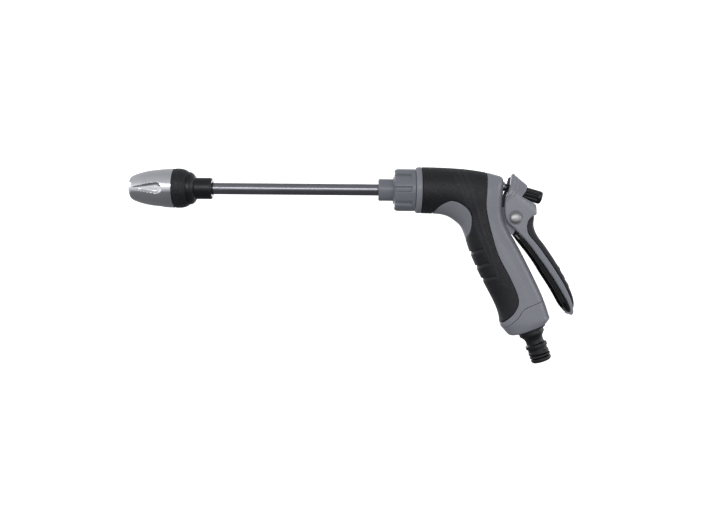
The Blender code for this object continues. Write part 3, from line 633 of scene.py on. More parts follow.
def object_from(name, bm, sharp=SHARP_ANGLE):
    bmesh.ops.recalc_face_normals(bm, faces=bm.faces)
    mesh = bpy.data.meshes.new(name)
    bm.to_mesh(mesh)
    bm.free()
    mesh.shade_smooth()
    mesh.set_sharp_from_angle(angle=radians(sharp))
    made = bpy.data.objects.new(name, mesh)
    bpy.context.scene.collection.objects.link(made)
    return made


def piece(node, bm, slot, look=None):
    """A fine piece that stands for its CAD node and rides on that node's body."""
    made = object_from(node + "_fine", bm)
    made.data.materials.append(look or SLOT_LOOKS[slot])
    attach(made, frame["nodes"][node]["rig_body"])
    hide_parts(node)
    return made


def carve(made, *steps):
    """Applies Boolean steps, each an operation and a helper object, and removes the helpers."""
    for operation, helper in steps:
        modifier = made.modifiers.new(operation.lower(), "BOOLEAN")
        modifier.operation = operation
        modifier.object = helper
    bpy.context.view_layer.update()
    graph = bpy.context.evaluated_depsgraph_get()
    mesh = bpy.data.meshes.new_from_object(made.evaluated_get(graph))
    made.modifiers.clear()
    made.data = mesh
    for operation, helper in steps:
        bpy.data.objects.remove(helper, do_unlink=True)
    mesh.shade_smooth()
    mesh.set_sharp_from_angle(angle=radians(SHARP_ANGLE))
    return made


def turns(count):
    """Evenly spaced angles round a full turn."""
    return [2 * pi * step / count for step in range(count)]


def quarter_turn(count):
    """Angles from nothing to a quarter turn, both ends included."""
    return [pi / 2 * step / count for step in range(count + 1)]


def axis_frame(x, z, turn_about_y=0.0):
    return Matrix.Translation((x, 0, z)) @ Matrix.Rotation(turn_about_y, 4, "Y")


LANCE = axis_frame(0, LANCE_HEIGHT)
VALVE = axis_frame(0.0023, 0.0620, VALVE_TILT)
INLET = axis_frame(0.0233, -0.0505, pi / 2 - INLET_TILT)
CROSS = Matrix.Translation((PIVOT_X, 0, PIVOT_Z)) @ Matrix.Rotation(pi / 2, 4, "Z")


def filleted(profile, radius, closed, steps=3):
    """The profile with each corner between two sides rounded."""
    count = len(profile)
    made = []
    for index, corner in enumerate(profile):
        if radius <= 0 or (not closed and index in (0, count - 1)):
            made.append(corner)
            continue
        here = Vector(corner)
        back = Vector(profile[index - 1]) - here
        ahead = Vector(profile[(index + 1) % count]) - here
        bend = back.angle(ahead) if back.length and ahead.length else pi
        if bend > radians(165):
            made.append(corner)
            continue
        reach = min(radius / tan(bend / 2), 0.42 * back.length, 0.42 * ahead.length)
        start = here + back.normalized() * reach
        end = here + ahead.normalized() * reach
        for step in range(steps + 1):
            t = step / steps
            made.append(tuple(start * (1 - t) ** 2 + here * 2 * t * (1 - t) + end * t**2))
    return made


def round_rings(at, profile, sides, shape=None):
    """Rings of points round the frame's X axis. The shape says how far the radius drops at each point."""
    rings = []
    for x, radius in profile:
        if radius < 1e-7:
            rings.append([at @ Vector((x, 0, 0))])
            continue
        ring = []
        for turn in turns(sides):
            reach = radius - (shape(x, radius, turn) if shape else 0)
            ring.append(at @ Vector((x, reach * sin(turn), reach * cos(turn))))
        rings.append(ring)
    return rings


def turned_mesh(at, profile, fillet=0.0002, sides=96, shape=None):
    """A mesh turned about the frame's X axis. A profile that starts off the axis closes on itself."""
    closed = profile[0][1] > 0
    return skin(round_rings(at, filleted(profile, fillet, closed), sides, shape), wrap=closed)


def turned(node, slot, at, profile, fillet=0.0002, sides=96, shape=None, look=None):
    return piece(node, turned_mesh(at, profile, fillet, sides, shape), slot, look)


def ring_piece(node, slot, at, start, end, inner, outer, fillet=0.00015, sides=80):
    return turned(node, slot, at, [(start, inner), (start, outer), (end, outer), (end, inner)], fillet, sides)


def o_ring(node, at, centre, radius, thickness, sides=96):
    section = [
        (centre + thickness / 2 * cos(turn), radius + thickness / 2 * sin(turn)) for turn in turns(20)
    ]
    return turned(node, "seal_rubber", at, section, 0, sides)


def rod(at, start, end, radius, sides=48):
    """A helper cylinder for carving."""
    profile = [(start, 0), (start, radius), (end, radius), (end, 0)]
    return object_from("helper", turned_mesh(at, profile, 0, sides))


def thicken(bm, inside):
    """Closes an open skin with a second skin at the inside points, joined along the rim."""
    verts, faces = list(bm.verts), list(bm.faces)
    rim = [edge for edge in bm.edges if edge.is_boundary]
    loops = [(edge.link_loops[0].vert, edge.link_loops[0].link_loop_next.vert) for edge in rim]
    twins = {vert: bm.verts.new(point) for vert, point in zip(verts, inside)}
    for face in faces:
        bm.faces.new([twins[vert] for vert in reversed(face.verts)])
    for first, second in loops:
        bm.faces.new((second, first, twins[first], twins[second]))


def plate(outline, half_width, levels, cell, marks=()):
    """A closed solid with this side view. The half-width is read at each point from its place in the outline.
    The marks are more fields to cut along, as (outline, levels)."""
    low, high = outline.min(0) - cell, outline.max(0) + cell
    across = int((high[0] - low[0]) / cell) + 1
    up = int((high[1] - low[1]) / cell) + 1
    bm = bmesh.new()
    grid = [
        [bm.verts.new((low[0] + i * cell, 0, low[1] + j * cell)) for i in range(across + 1)]
        for j in range(up + 1)
    ]
    for j in range(up):
        for i in range(across):
            bm.faces.new((grid[j][i], grid[j][i + 1], grid[j + 1][i + 1], grid[j + 1][i]))
    put_field(bm, "edge", distance_to(side_view(bm), outline))
    cut(bm, "edge", [0.0])
    keep_above(bm, "edge", 0.0)
    cut(bm, "edge", [level for level in levels if level > 0])
    for index, (area, area_levels) in enumerate(marks):
        put_field(bm, f"mark_{index}", area(side_view(bm)))
        cut(bm, f"mark_{index}", area_levels)
    edge = bm.verts.layers.float["edge"]
    verts = list(bm.verts)
    widths = half_width(side_view(bm), np.array([vert[edge] for vert in verts]))
    thicken(bm, [(vert.co.x, width, vert.co.z) for vert, width in zip(verts, widths)])
    for vert, width in zip(verts, widths):
        vert.co.y = -width
    return bm


# ---- gun body, overmould and end cap ------------------------------------------------------------
def body_rings():
    rings = []
    for row in smooth(BODY_SECTIONS, 6):
        inner_x, inner_z, outer_x, outer_z, half_width, exponent = row
        inner, outer = Vector((inner_x, 0, inner_z)), Vector((outer_x, 0, outer_z))
        middle, half = (inner + outer) / 2, (outer - inner) / 2
        ring = []
        for turn in turns(BODY_SIDES):
            across = Vector((0, half_width * power(sin(turn), 2 / exponent), 0))
            ring.append(middle + half * power(cos(turn), 2 / exponent) + across)
        rings.append(ring)
    return rings


def muzzle_rings():
    """Bore, threaded spout and front face, from the inside outwards."""
    bore = 0.0100
    profile = [(-0.0220, 0.0004), (-0.0260, bore), (SPOUT_END + 0.0005, bore), (SPOUT_END, bore + 0.0005),
               (SPOUT_END, 0.0124), (SPOUT_END + 0.0004, 0.0128)]
    pitch = 0.0018
    at = SPOUT_END + 0.0010
    while at + pitch < GUN_FRONT - 0.0004:
        profile += [(at, 0.0124), (at + pitch * 0.35, 0.0130), (at + pitch * 0.65, 0.0130)]
        at += pitch
    profile += [(GUN_FRONT - 0.0003, 0.0124), (GUN_FRONT, 0.0126), (GUN_FRONT, 0.0172),
                (GUN_FRONT + 0.0002, 0.01745), (GUN_FRONT + 0.0013, 0.0183), (GUN_FRONT + 0.0017, 0.0184)]
    return round_rings(LANCE, profile, BODY_SIDES)


def overmould_field(points):
    rear = smooth(OVERMOULD_REAR, 4)
    outline = rear + OVERMOULD_OUTSIDE + [(OVERMOULD_FRONT, 0.0900)]
    window = smooth(WINDOW, 4) + WINDOW_OUTSIDE
    return np.minimum(distance_to(points, outline), -distance_to(points, window))


def cap_field(points):
    seam = CAP_SEAM[:1] + smooth(CAP_SEAM[1:-1], 4) + CAP_SEAM[-1:]
    return distance_to(points, seam + CAP_OUTSIDE)


def notch_places(points, notch):
    """Distance below a notch's upper edge, and place along it from 0 at the front to 1 at the rear."""
    start, end = np.array(notch[:2]), np.array(notch[2:])
    length = np.hypot(*(end - start))
    along = (end - start) / length
    below = np.array((along[1], -along[0]))
    offset = points - start
    return offset @ below, (offset @ along) / length


def notch_depth(points):
    """A notch drops sharply at its upper edge, runs level and rises again in a short ramp."""
    total = np.zeros(len(points))
    for notch in NOTCHES:
        below, share = notch_places(points, notch)
        profile = np.interp(below, NOTCH_EDGES, (0, 1, 0.75, 0))
        fade = np.clip((1.06 - share) / 0.22, 0, 1)
        total = np.maximum(total, NOTCH_DEPTH * profile * fade * fade * (3 - 2 * fade))
    return total


def base_normals(bm):
    bmesh.ops.recalc_face_normals(bm, faces=bm.faces)
    bm.normal_update()
    return [vert.normal.copy() for vert in bm.verts]


def close_across(bm):
    """Fills the open seam with faces that run straight across from one side of the gun to the other."""
    rim = [edge for edge in bm.edges if edge.is_boundary]
    verts = {vert for edge in rim for vert in edge.verts}
    left = {(round(v.co.x, 6), round(v.co.z, 6)): v for v in verts if v.co.y < -1e-7}

    def twin(vert):
        if abs(vert.co.y) < 1e-7:
            return vert
        key = (round(vert.co.x, 6), round(vert.co.z, 6))
        return left.get(key) or min(
            left.values(), key=lambda v: (v.co.x - vert.co.x) ** 2 + (v.co.z - vert.co.z) ** 2
        )

    for edge in rim:
        if min(vert.co.y for vert in edge.verts) < -1e-7 or max(vert.co.y for vert in edge.verts) < 1e-7:
            continue
        loop = edge.link_loops[0]
        first, second = loop.vert, loop.link_loop_next.vert
        corners = list(dict.fromkeys((second, first, twin(first), twin(second))))
        if len(corners) > 2:
            bm.faces.new(corners)
    still_open = [edge for edge in bm.edges if edge.is_boundary]
    if still_open:
        bmesh.ops.holes_fill(bm, edges=still_open, sides=0)


def body_shell():
    """The grey body: recessed under the overmould, with rounded edges along every seam."""
    inside = muzzle_rings()
    outside = body_rings()
    bm = skin(inside + outside, close_start=True, close_end=True)
    places = side_view(bm)
    on_skin = np.arange(len(places)) >= len(inside) * BODY_SIDES
    put_field(bm, "overmould", np.where(on_skin, overmould_field(places), -0.01))
    put_field(bm, "cap", np.where(on_skin, -GAP - cap_field(places), 0.01))
    cut(bm, "cap", lip_levels(0.0, BODY_CAP_LIP))
    keep_above(bm, "cap", 0.0)
    cut(bm, "overmould", lip_levels(BODY_EDGE, -BODY_LIP))
    cut(bm, "overmould", [BODY_EDGE + 0.00005])
    normals = base_normals(bm)
    over, cap = (bm.verts.layers.float[name] for name in ("overmould", "cap"))
    for vert, normal in zip(bm.verts, normals):
        depth = lip(vert[cap], BODY_CAP_LIP, BODY_CAP_LIP_DEPTH)
        if vert[over] > BODY_EDGE + 0.00003:
            depth = max(depth, RECESS_DEPTH)
        else:
            depth = max(depth, lip(BODY_EDGE - vert[over], BODY_LIP, BODY_LIP_DEPTH))
        vert.co -= normal * depth
    close_across(bm)
    made = piece("body_shell", bm, "grey_plastic")
    lug = object_from("helper", plate(
        outline_of([PIVOT_LUG]), lambda at, inside_by: np.full(len(at), LUG_HALF_WIDTH), [0.0], 0.0012
    ))
    chamber = [(-0.031, 0), (-0.031, 0.0026), (-0.0173, 0.0026), (-0.0173, CHAMBER_RADIUS),
               (0.008, CHAMBER_RADIUS), (0.008, 0)]
    return carve(
        made, ("UNION", lug), ("DIFFERENCE", object_from("helper", turned_mesh(VALVE, chamber, 0, 48))),
        ("DIFFERENCE", rod(CROSS, -0.02, 0.02, PIN_HOLE_RADIUS))
    )


def grip_overmould():
    """The soft skin: a rounded lip on each edge and three finger notches in front."""
    bm = skin(body_rings())
    put_field(bm, "overmould", overmould_field(side_view(bm)))
    cut(bm, "overmould", [OVERMOULD_EDGE])
    keep_above(bm, "overmould", OVERMOULD_EDGE)
    cut(bm, "overmould", lip_levels(OVERMOULD_EDGE, OVERMOULD_LIP)[1:])
    for index, notch in enumerate(NOTCHES):
        below, share = notch_places(side_view(bm), notch)
        put_field(bm, f"notch_{index}", np.where(share < 1.2, below, 1.0))
        cut(bm, f"notch_{index}", NOTCH_EDGES + (-0.0004, 0.0006, 0.0012, 0.0032))
    normals = base_normals(bm)
    over = bm.verts.layers.float["overmould"]
    sunk = notch_depth(side_view(bm))
    inside = []
    for vert, normal, notch in zip(bm.verts, normals, sunk):
        inside.append(vert.co - normal * OVERMOULD_THICKNESS)
        rounding = lip(vert[over] - OVERMOULD_EDGE, OVERMOULD_LIP, OVERMOULD_LIP_DEPTH)
        vert.co -= normal * max(rounding, notch)
    thicken(bm, inside)
    return piece("grip_overmould", bm, "soft_rubber")


def end_cap():
    bm = skin(body_rings(), close_end=True)
    put_field(bm, "cap", cap_field(side_view(bm)))
    cut(bm, "cap", lip_levels(0.0, CAP_LIP))
    keep_above(bm, "cap", 0.0)
    normals = base_normals(bm)
    cap = bm.verts.layers.float["cap"]
    for vert, normal in zip(bm.verts, normals):
        vert.co -= normal * lip(vert[cap], CAP_LIP, CAP_LIP_DEPTH)
    close_across(bm)
    made = piece("end_cap", bm, "grey_plastic")
    return carve(made, ("DIFFERENCE", rod(INLET, -0.016, 0.004, SPIGOT_SOCKET_RADIUS)))


# ---- hose inlet ---------------------------------------------------------------------------------
def inlet():
    turned("inlet_spigot", "black_plastic", INLET, [
        (-0.0075, SPIGOT_BORE), (-0.0075, 0.0082), (-0.0067, 0.0090), (0.0010, 0.0090), (0.0016, 0.0100),
        (0.0044, 0.0100), (0.0052, 0.0092), (0.0070, 0.0077), (0.0090, 0.0070), (0.0120, 0.0070),
        (0.0130, 0.0086), (0.0156, 0.0086), (0.0160, 0.0077), (0.0184, 0.0077), (0.0188, 0.0082),
        (0.0208, 0.0082), (0.0210, 0.0060), (0.0240, 0.0060), (0.0242, 0.0081), (0.0262, 0.0081),
        (0.0273, 0.0069), (0.0273, SPIGOT_BORE),
    ], 0.0004)
    o_ring("spigot_oring", INLET, 0.0225, 0.00735, 0.0021)
    ring_piece("inlet_washer", "seal_rubber", INLET, GAP, 0.0010, 0.0093, 0.0122)


# ---- lance, union nut and tube ------------------------------------------------------------------
def wrap_angle(turn, count, phase):
    """Angle from the nearest of several evenly spaced marks."""
    pitch = 2 * pi / count
    return abs((turn - phase + pitch / 2) % pitch - pitch / 2)


def nut_flute(x, radius, turn):
    """Square slots that run out through the front edge and rise to the skirt in a short ramp."""
    if radius < 0.0148:
        return 0.0
    off = wrap_angle(turn, NUT_FLUTES, NUT_FLUTE_TURN)
    wall = max(0.0, min(1.0, (radians(7.9) - off) / radians(1.3)))
    ramp = max(0.0, min(1.0, (NUT_FRONT + 0.0142 - x) / 0.0022))
    return 0.0014 * wall * ramp


def lance():
    along = [NUT_FRONT + 0.0022 + step * 0.00045 for step in range(28)]
    profile = [(NUT_FRONT - NUT_BOSS, 0.0090), (NUT_FRONT - NUT_BOSS, 0.0100), (NUT_FRONT, 0.0120),
               (NUT_FRONT, 0.0151), (NUT_FRONT + 0.0007, 0.0160), (NUT_FRONT + 0.0018, 0.0166)]
    profile += [(x, 0.0167) for x in along if x < GUN_FRONT - 0.0010]
    profile += [(GUN_FRONT - GAP, 0.0168), (GUN_FRONT - GAP, 0.0135), (NUT_FRONT + 0.0028, 0.0135),
                (NUT_FRONT + 0.0028, 0.0090)]
    turned("lance_nut", "nut_plastic", LANCE, profile, 0.0004, NUT_FLUTES * 32, nut_flute)
    ring_piece("slip_washer", "nylon", LANCE, NUT_FRONT + 0.0031, NUT_FRONT + 0.0039, 0.0090, 0.0125)
    turned("lance_bush", "nut_plastic", LANCE, [
        (NUT_FRONT - 0.0128, TUBE_RADIUS + GAP), (NUT_FRONT - 0.0128, 0.0080), (NUT_FRONT - 0.0121, 0.0087),
        (NUT_FRONT + 0.0042, 0.0087), (NUT_FRONT + 0.0042, 0.0126), (NUT_FRONT + 0.0052, 0.0126),
        (NUT_FRONT + 0.0052, 0.0070), (NUT_FRONT + 0.0034, 0.0070), (NUT_FRONT + 0.0034, TUBE_RADIUS + GAP),
    ], 0.00025)
    ring_piece("lance_face_seal", "seal_rubber", LANCE, NUT_FRONT + 0.0055, SPOUT_END - GAP, 0.0075, 0.0124)
    o_ring("tube_rear_seal", LANCE, NUT_FRONT + 0.0044, 0.00580, 0.0018)
    low, high = (corner.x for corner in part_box("lance_tube"))
    ring_piece("lance_tube", "tube_steel", LANCE, low, high, TUBE_RADIUS - 0.0008, TUBE_RADIUS)


# ---- nozzle -------------------------------------------------------------------------------------
def sleeve_flute(x, radius, turn):
    """Teardrop hollows: pointed at the nozzle's mouth, round at the rear, with a soft rim."""
    along = x - NOZZLE_FRONT
    start, end = 0.0034, 0.0272
    if radius < 0.0085 or not start < along < end:
        return 0.0
    share = (along - start) / (end - start)
    half = radians(19) * share**0.55 * sqrt(max(0.0, 1 - max(0.0, (share - 0.80) / 0.20) ** 2))
    if half <= 0:
        return 0.0
    off = wrap_angle(turn, SLEEVE_FLUTES, SLEEVE_FLUTE_TURN) / half
    if off >= 1:
        return 0.0
    return 0.0015 * min(1.0, share * 3) * (1 - off**4)


def nozzle():
    outside = [(0.0003, 0.0085), (0.0010, 0.0093), (0.0032, 0.0105), (0.0080, 0.0122), (0.0136, 0.0136),
               (0.0192, 0.0146), (0.0256, 0.0153), (0.0352, 0.01575)]
    inside = [
        (0.0352, 0.0124), (0.0457, 0.0124), (0.0457, 0.0115), (0.0286, 0.0115), (0.0286, 0.0130),
        (0.0262, 0.0130), (0.0262, 0.0115), (0.0100, 0.0115), (0.0085, 0.0090), (0.0085, 0.0030),
        (0.0060, 0.0030), (0.0004, 0.0078), (0.0000, 0.0080),
    ]
    profile = [(NOZZLE_FRONT + x, r) for x, r in smooth(outside, 9) + inside]
    turned("chrome_sleeve", "chrome", LANCE, profile, 0, 240, sleeve_flute)
    turned("sleeve_grip_ring", "soft_rubber", LANCE, [
        (SLEEVE_REAR + GAP, 0.0127), (SLEEVE_REAR + GAP, 0.0156), (-0.2590, 0.01575), (-0.2560, 0.0156),
        (-0.2535, 0.0150), (-0.2515, 0.0141), (-0.2505, 0.0134), (-0.2505, 0.0127),
    ], 0.0004, 144, look=RING_RUBBER)
    dome = [(-0.2446, 0.0086), (-0.2450, 0.0095), (-0.2458, 0.0107), (-0.2470, 0.0120), (-0.2485, 0.0128),
            (-0.2502, 0.0131)]
    turned("nozzle_barrel", "black_plastic", LANCE, [
        (-0.2315, TUBE_RADIUS + GAP), (-0.2315, 0.0074), (-0.2327, 0.0085), (-0.2444, 0.0085),
        *smooth(dome, 5), (-0.2503, 0.0112), (-0.2740, 0.0112), (-0.2750, 0.0102), (-0.2750, 0.0062),
        (-0.2440, 0.0062), (-0.2440, 0.0072), (-0.2418, 0.0072), (-0.2418, 0.0062), (-0.2393, 0.0062),
        (-0.2393, TUBE_RADIUS + GAP),
    ], 0.0003)
    turned("spray_spindle", "brass", LANCE, [
        (-0.2700, 0), (-0.2700, 0.0041), (-0.2765, 0.0041), (-0.2765, 0.0026), (-0.2850, 0.0026),
        (-0.2900, 0.0010), (-0.2900, 0),
    ], 0.0002, 48)
    o_ring("sleeve_seal", LANCE, NOZZLE_FRONT + 0.0274, 0.01210, 0.0014)
    o_ring("tube_front_seal", LANCE, -0.2429, 0.00590, 0.0018)


# ---- valve --------------------------------------------------------------------------------------
def knob_groove(x, radius, turn):
    """Grip grooves between the ribs; they stop short of the smooth end band."""
    if radius < KNOB_RADIUS - 0.0006 or not KNOB_START + 0.0010 < x < KNOB_END - 0.0034:
        return 0.0
    off = wrap_angle(turn, KNOB_RIBS, pi / 2) / radians(9.5)
    return 0.00075 * sqrt(max(0.0, 1 - off**2)) if off < 1 else 0.0


def valve():
    ring_piece("valve_seat", "brass", VALVE, -0.0170, -0.0152, 0.0025, CHAMBER_RADIUS - GAP)
    ring_piece("valve_washer", "seal_rubber", VALVE, -0.0149, -0.0135, 0.0018, 0.0036)
    ring_piece("washer_screw", "brass", VALVE, -0.0163, -0.0152, STEM_RADIUS + GAP, 0.0022)
    turned("valve_stem", "tube_steel", VALVE, [
        (-0.0170, 0), (-0.0170, 0.0011), (-0.0166, STEM_RADIUS), (-0.0132, STEM_RADIUS), (-0.0132, 0.0036),
        (-0.0120, 0.0036), (-0.0120, STEM_RADIUS), (0.0262, STEM_RADIUS), (0.0267, 0.0010), (0.0267, 0),
    ], 0.0001, 48)
    o_ring("gland_seal", VALVE, -0.0042, 0.00255, 0.0012, 64)
    turned("gland_nut", "tube_steel", VALVE, [
        (-0.0050, 0.0033), (-0.0050, 0.0039), (-0.0012, 0.0039), (-0.0012, 0.0030), (0.0026, 0.0030),
        (0.0026, 0.0019), (-0.0033, 0.0019), (-0.0033, 0.0033),
    ], 0.0002, 64)
    ring_piece("knob_thrust_washer", "nylon", VALVE, KNOB_START - 0.0008, KNOB_START - GAP, 0.0019, 0.0034)
    marks = [KNOB_START + 0.0008, KNOB_START + 0.0012, KNOB_START + 0.0016, KNOB_END - 0.0041,
             KNOB_END - 0.0037, KNOB_END - 0.0033]
    bore = KNOB_END - 0.0030
    turned("adjuster_knob", "black_plastic", VALVE, [
        (KNOB_START, 0.0018), (KNOB_START, 0.0046), (KNOB_START + 0.0005, KNOB_RADIUS),
        *((x, KNOB_RADIUS) for x in marks),
        (KNOB_END - 0.0012, KNOB_RADIUS), (KNOB_END - 0.0003, KNOB_RADIUS - 0.0006),
        (KNOB_END, KNOB_RADIUS - 0.0018), (KNOB_END - 0.0004, KNOB_RADIUS - 0.0028),
        (KNOB_END - 0.0005, 0.0002), (bore, 0.0002), (bore, 0.0018),
    ], 0.00012, KNOB_RIBS * 16, knob_groove)


# ---- lever --------------------------------------------------------------------------------------
def lever_taper(heights):
    """The lever narrows below its shoulder, down to the tip."""
    shoulder, tip = 0.020, -0.040
    return 1 - 0.24 * np.clip((shoulder - heights) / (shoulder - tip), 0, 1)


def rounded_edge(inside_by, radius):
    short = np.clip(1 - inside_by / radius, 0, 1)
    return radius * (1 - np.sqrt(1 - short**2))


def hood_arch(at, half_width, below=0.0):
    """The hood's roof is an arch from cheek to cheek. The second surface is lower by a wall."""
    start, end = np.array(LEVER_RUNS[0][0]), np.array(LEVER_RUNS[0][1])
    along = (end - start) / np.hypot(*(end - start))
    down = np.array((along[1], -along[0]))
    drop = np.clip(((at - start) @ down - below) / (ARCH_DEPTH - below), 0, 1)
    return half_width * np.sqrt(np.maximum(0.0004, 1 - (1 - drop) ** 2))


def rivet_distance(at):
    return np.hypot(at[:, 0] - PIVOT_X, at[:, 1] - PIVOT_Z)


def crease_distance(crease):
    """A field: how far a place lies in front of the crease."""
    return lambda at: distance_to(at, smooth(crease, 3))


def lever_half_width(at, inside_by):
    width = np.minimum(LEVER_HALF_WIDTH * lever_taper(at[:, 1]), hood_arch(at, LEVER_HALF_WIDTH))
    width = width - rounded_edge(inside_by, LEVER_EDGE)
    fade = np.clip((at[:, 1] - 0.044) / 0.006, 0, 1)
    for crease in HOOD_CREASES:
        band = np.clip(crease_distance(crease)(at) / CREASE_WIDTH, 0, 1)
        width = width + CREASE_RISE * band * band * (3 - 2 * band) * fade
    dish = np.interp(rivet_distance(at), DISH_STEPS, DISH_DEPTHS)
    return np.maximum(width - dish, 0.0004)


def lever_frame():
    outline = outline_of(LEVER_RUNS)
    crease_steps = (0.0, CREASE_WIDTH / 2, CREASE_WIDTH)
    bm = plate(outline, lever_half_width, lip_levels(0.0, LEVER_EDGE), 0.0009, [
        (rivet_distance, DISH_STEPS),
        *((crease_distance(crease), crease_steps) for crease in HOOD_CREASES),
    ])
    made = piece("lever_frame", bm, "grey_plastic")

    def pocket_width(at, inside_by):
        inner = LEVER_HALF_WIDTH - CHEEK_THICKNESS
        return np.maximum(0.0004, np.minimum(inner, hood_arch(at, inner, POCKET_DROP)))

    pocket = object_from("helper", plate(outline_of([HOOD_POCKET], 1), pocket_width, [0.0], 0.0010))
    return carve(
        made, ("DIFFERENCE", pocket), ("DIFFERENCE", rod(VALVE, 0.004, 0.018, STEM_HOLE_RADIUS)),
        ("DIFFERENCE", rod(VALVE, KNOB_SEAT_START, KNOB_SEAT_END, KNOB_SEAT_RADIUS)),
        ("DIFFERENCE", rod(CROSS, -0.02, 0.02, PIN_HOLE_RADIUS))
    )


def front_channel():
    """The black liner that faces the grip: two walls and a web, with a slot near its tip."""
    def width(at, inside_by):
        slot = np.clip(distance_to(at, CHANNEL_SLOT) / 0.0002, 0, 1)
        full = CHANNEL_HALF_WIDTH * lever_taper(at[:, 1])
        return full - rounded_edge(inside_by, CHANNEL_EDGE) - CHANNEL_SLOT_DEPTH * slot

    bm = plate(outline_of(CHANNEL_RUNS), width, lip_levels(0.0, CHANNEL_EDGE), 0.0009, [
        (lambda at: distance_to(at, CHANNEL_SLOT), (0.0, 0.0002)),
    ])
    # The liner's extra darkness is painted shade.
    made = piece("lever_front_channel", bm, "black_plastic", SHADED_LINER)

    def hollow_width(at, inside_by):
        return CHANNEL_HOLLOW_HALF_WIDTH * lever_taper(at[:, 1])

    hollow = plate(outline_of([CHANNEL_HOLLOW], 1), hollow_width, [0.0], 0.002)
    return carve(made, ("DIFFERENCE", object_from("helper", hollow)))


def pad_teeth(x, z):
    """Saw teeth near the tip: each rises slowly towards the tip and drops back at once."""
    top, bottom = Vector(PAD_TEETH[0]), Vector(PAD_TEETH[-1])
    along = (bottom - top).normalized()
    best = 0.0
    for tooth in PAD_TEETH:
        past = (Vector((x, z)) - Vector(tooth)).dot(along)
        if -TOOTH_SLOPE < past <= 0:
            best = max(best, 1 + past / TOOTH_SLOPE)
        elif 0 < past < TOOTH_DROP:
            best = max(best, 1 - past / TOOTH_DROP)
    return TOOTH_HEIGHT * best


def back_pad():
    """The rubber pad under the palm: a crown on a flat foot, with saw teeth near the tip."""
    count = 32
    rings = []
    for foot_x, foot_z, crown_x, crown_z, half_width in smooth(PAD_SECTIONS, 14):
        foot = Vector((foot_x, 0, foot_z))
        rise = Vector((crown_x - foot_x, 0, crown_z - foot_z))
        tooth = pad_teeth(crown_x, crown_z)
        ring = []
        for step in range(count + 1):
            turn = pi * step / count
            height = power(sin(turn), 0.7)
            across = Vector((0, half_width * cos(turn), 0))
            ring.append(foot + across + rise * height + rise.normalized() * tooth * max(0, height * 3 - 2))
        rings.append(ring)
    bm = skin(rings, close_start=True, close_end=True)
    return piece("lever_back_pad", bm, "soft_rubber")


def pivot_rivet():
    head_from = LEVER_HALF_WIDTH + GAP
    foot = head_from - 0.0002
    half = [(head_from + 0.0013 * cos(turn), RIVET_HEAD_RADIUS * sin(turn)) for turn in quarter_turn(12)]
    half += [(foot, RIVET_HEAD_RADIUS), (foot, PIN_RADIUS)]
    profile = [(-x, radius) for x, radius in half] + half[::-1]
    return turned("pivot_rivet", "rivet_metal", CROSS, profile, 0, 96)


body_shell()
grip_overmould()
end_cap()
inlet()
lance()
nozzle()
valve()
lever_frame()
front_channel()
back_pad()
pivot_rivet()

# Carried-over CAD nodes take the look of their material slot.
spring = frame["nodes"]["valve_spring"]
spring.data.materials.clear()
spring.data.materials.append(STEEL)
spring.data.shade_smooth()


# ---- camera, floor and light --------------------------------------------------------------------
def camera():
    data = bpy.data.cameras.new("camera")
    data.lens = CAMERA_LENS
    data.sensor_width = 36
    made = bpy.data.objects.new("camera", data)
    turn = Matrix.Rotation(-CAMERA_ROLL, 4, "Y") @ Matrix.Rotation(pi / 2, 4, "X")
    made.matrix_world = Matrix.Translation(CAMERA_PLACE) @ turn
    bpy.context.scene.collection.objects.link(made)
    bpy.context.scene.camera = made


def floor():
    """A pale floor that curves up into a round wall, far outside the wand."""
    flat, bend, top = 0.9, 0.7, 2.2
    middle_x, _, middle_z = WAND_MIDDLE
    profile = [(0.0, middle_z - bend)]
    profile += [(flat + bend * sin(turn), middle_z - bend * cos(turn)) for turn in quarter_turn(16)]
    profile += [(flat + bend, top)]
    rings = []
    for radius, height in profile:
        ring = [
            Vector((radius * cos(turn) + middle_x, radius * sin(turn), height)) for turn in turns(64)
        ]
        rings.append(ring[:1] if radius == 0 else ring)
    made = object_from("floor", skin(rings), 180)
    look = Look("pale_floor", Emission_Strength=0.85, Emission_Color=(1, 1, 1, 1))
    cloud = look.noise(3, 3)
    tone = look.ramp(cloud, [(0.2, (0.86, 0.86, 0.86, 1)), (0.8, (0.90, 0.90, 0.90, 1))])
    made.data.materials.append(look.done(tone, look.spread(cloud, 0.3, 0.7, 0.6, 0.7)))
    made.visible_diffuse = False
    made.visible_glossy = False
    made.visible_shadow = False


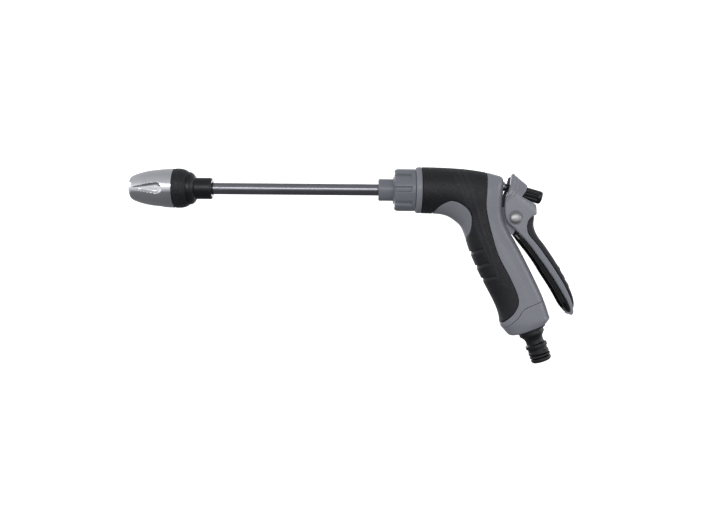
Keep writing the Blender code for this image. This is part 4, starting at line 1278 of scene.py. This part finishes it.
def softbox(name, azimuth, elevation, width, height, radiance, glossy=True):
    """An area light one metre from the wand's middle. Azimuth 0 is the camera's side."""
    data = bpy.data.lights.new(name, "AREA")
    data.shape = "RECTANGLE"
    data.size = width
    data.size_y = height
    data.energy = radiance * width * height * pi
    made = bpy.data.objects.new(name, data)
    a, e = radians(azimuth), radians(elevation)
    back = Vector((sin(a) * cos(e), -cos(a) * cos(e), sin(e)))
    made.location = Vector(WAND_MIDDLE) + back
    made.rotation_mode = "QUATERNION"
    made.rotation_quaternion = back.to_track_quat("Z", "Y")
    made.visible_glossy = glossy
    bpy.context.scene.collection.objects.link(made)


def surroundings():
    """A studio that is pale round the horizon, mid grey above and dark below."""
    world = bpy.data.worlds.new("studio")
    bpy.context.scene.world = world
    world.use_nodes = True
    tree = world.node_tree
    place = tree.nodes.new("ShaderNodeTexCoord")
    parts = tree.nodes.new("ShaderNodeSeparateXYZ")
    shade = tree.nodes.new("ShaderNodeMapRange")
    shade.inputs["From Min"].default_value = -1
    ramp = tree.nodes.new("ShaderNodeValToRGB")
    for position, value in ((0.28, 0.17), (0.38, 0.50), (0.50, 0.84), (0.60, 0.84), (0.72, 0.55)):
        element = ramp.color_ramp.elements.new(position)
        element.color = (value, value, value * 1.04, 1)
    ramp.color_ramp.elements[0].color = (0.13, 0.13, 0.135, 1)
    ramp.color_ramp.elements[-1].color = (0.36, 0.365, 0.375, 1)
    tree.links.new(place.outputs["Generated"], parts.inputs["Vector"])
    tree.links.new(parts.outputs["Z"], shade.inputs["Value"])
    tree.links.new(shade.outputs["Result"], ramp.inputs["Fac"])
    tree.links.new(ramp.outputs["Color"], tree.nodes["Background"].inputs["Color"])


camera()
floor()
surroundings()
softbox("front_strip", 0, 13, 1.3, 0.16, 3.8)
softbox("back_strip", 180, 11, 1.3, 0.34, 2.5)
softbox("left_strip", -90, 14, 0.5, 0.34, 1.2)
softbox("right_strip", 90, 14, 0.5, 0.34, 1.6)
softbox("overhead", 0, 78, 1.0, 0.8, 0.25, glossy=False)
softbox("under_fill", 0, -60, 1.2, 1.0, 0.45, glossy=False)
bpy.context.scene.view_settings.view_transform = "Standard"
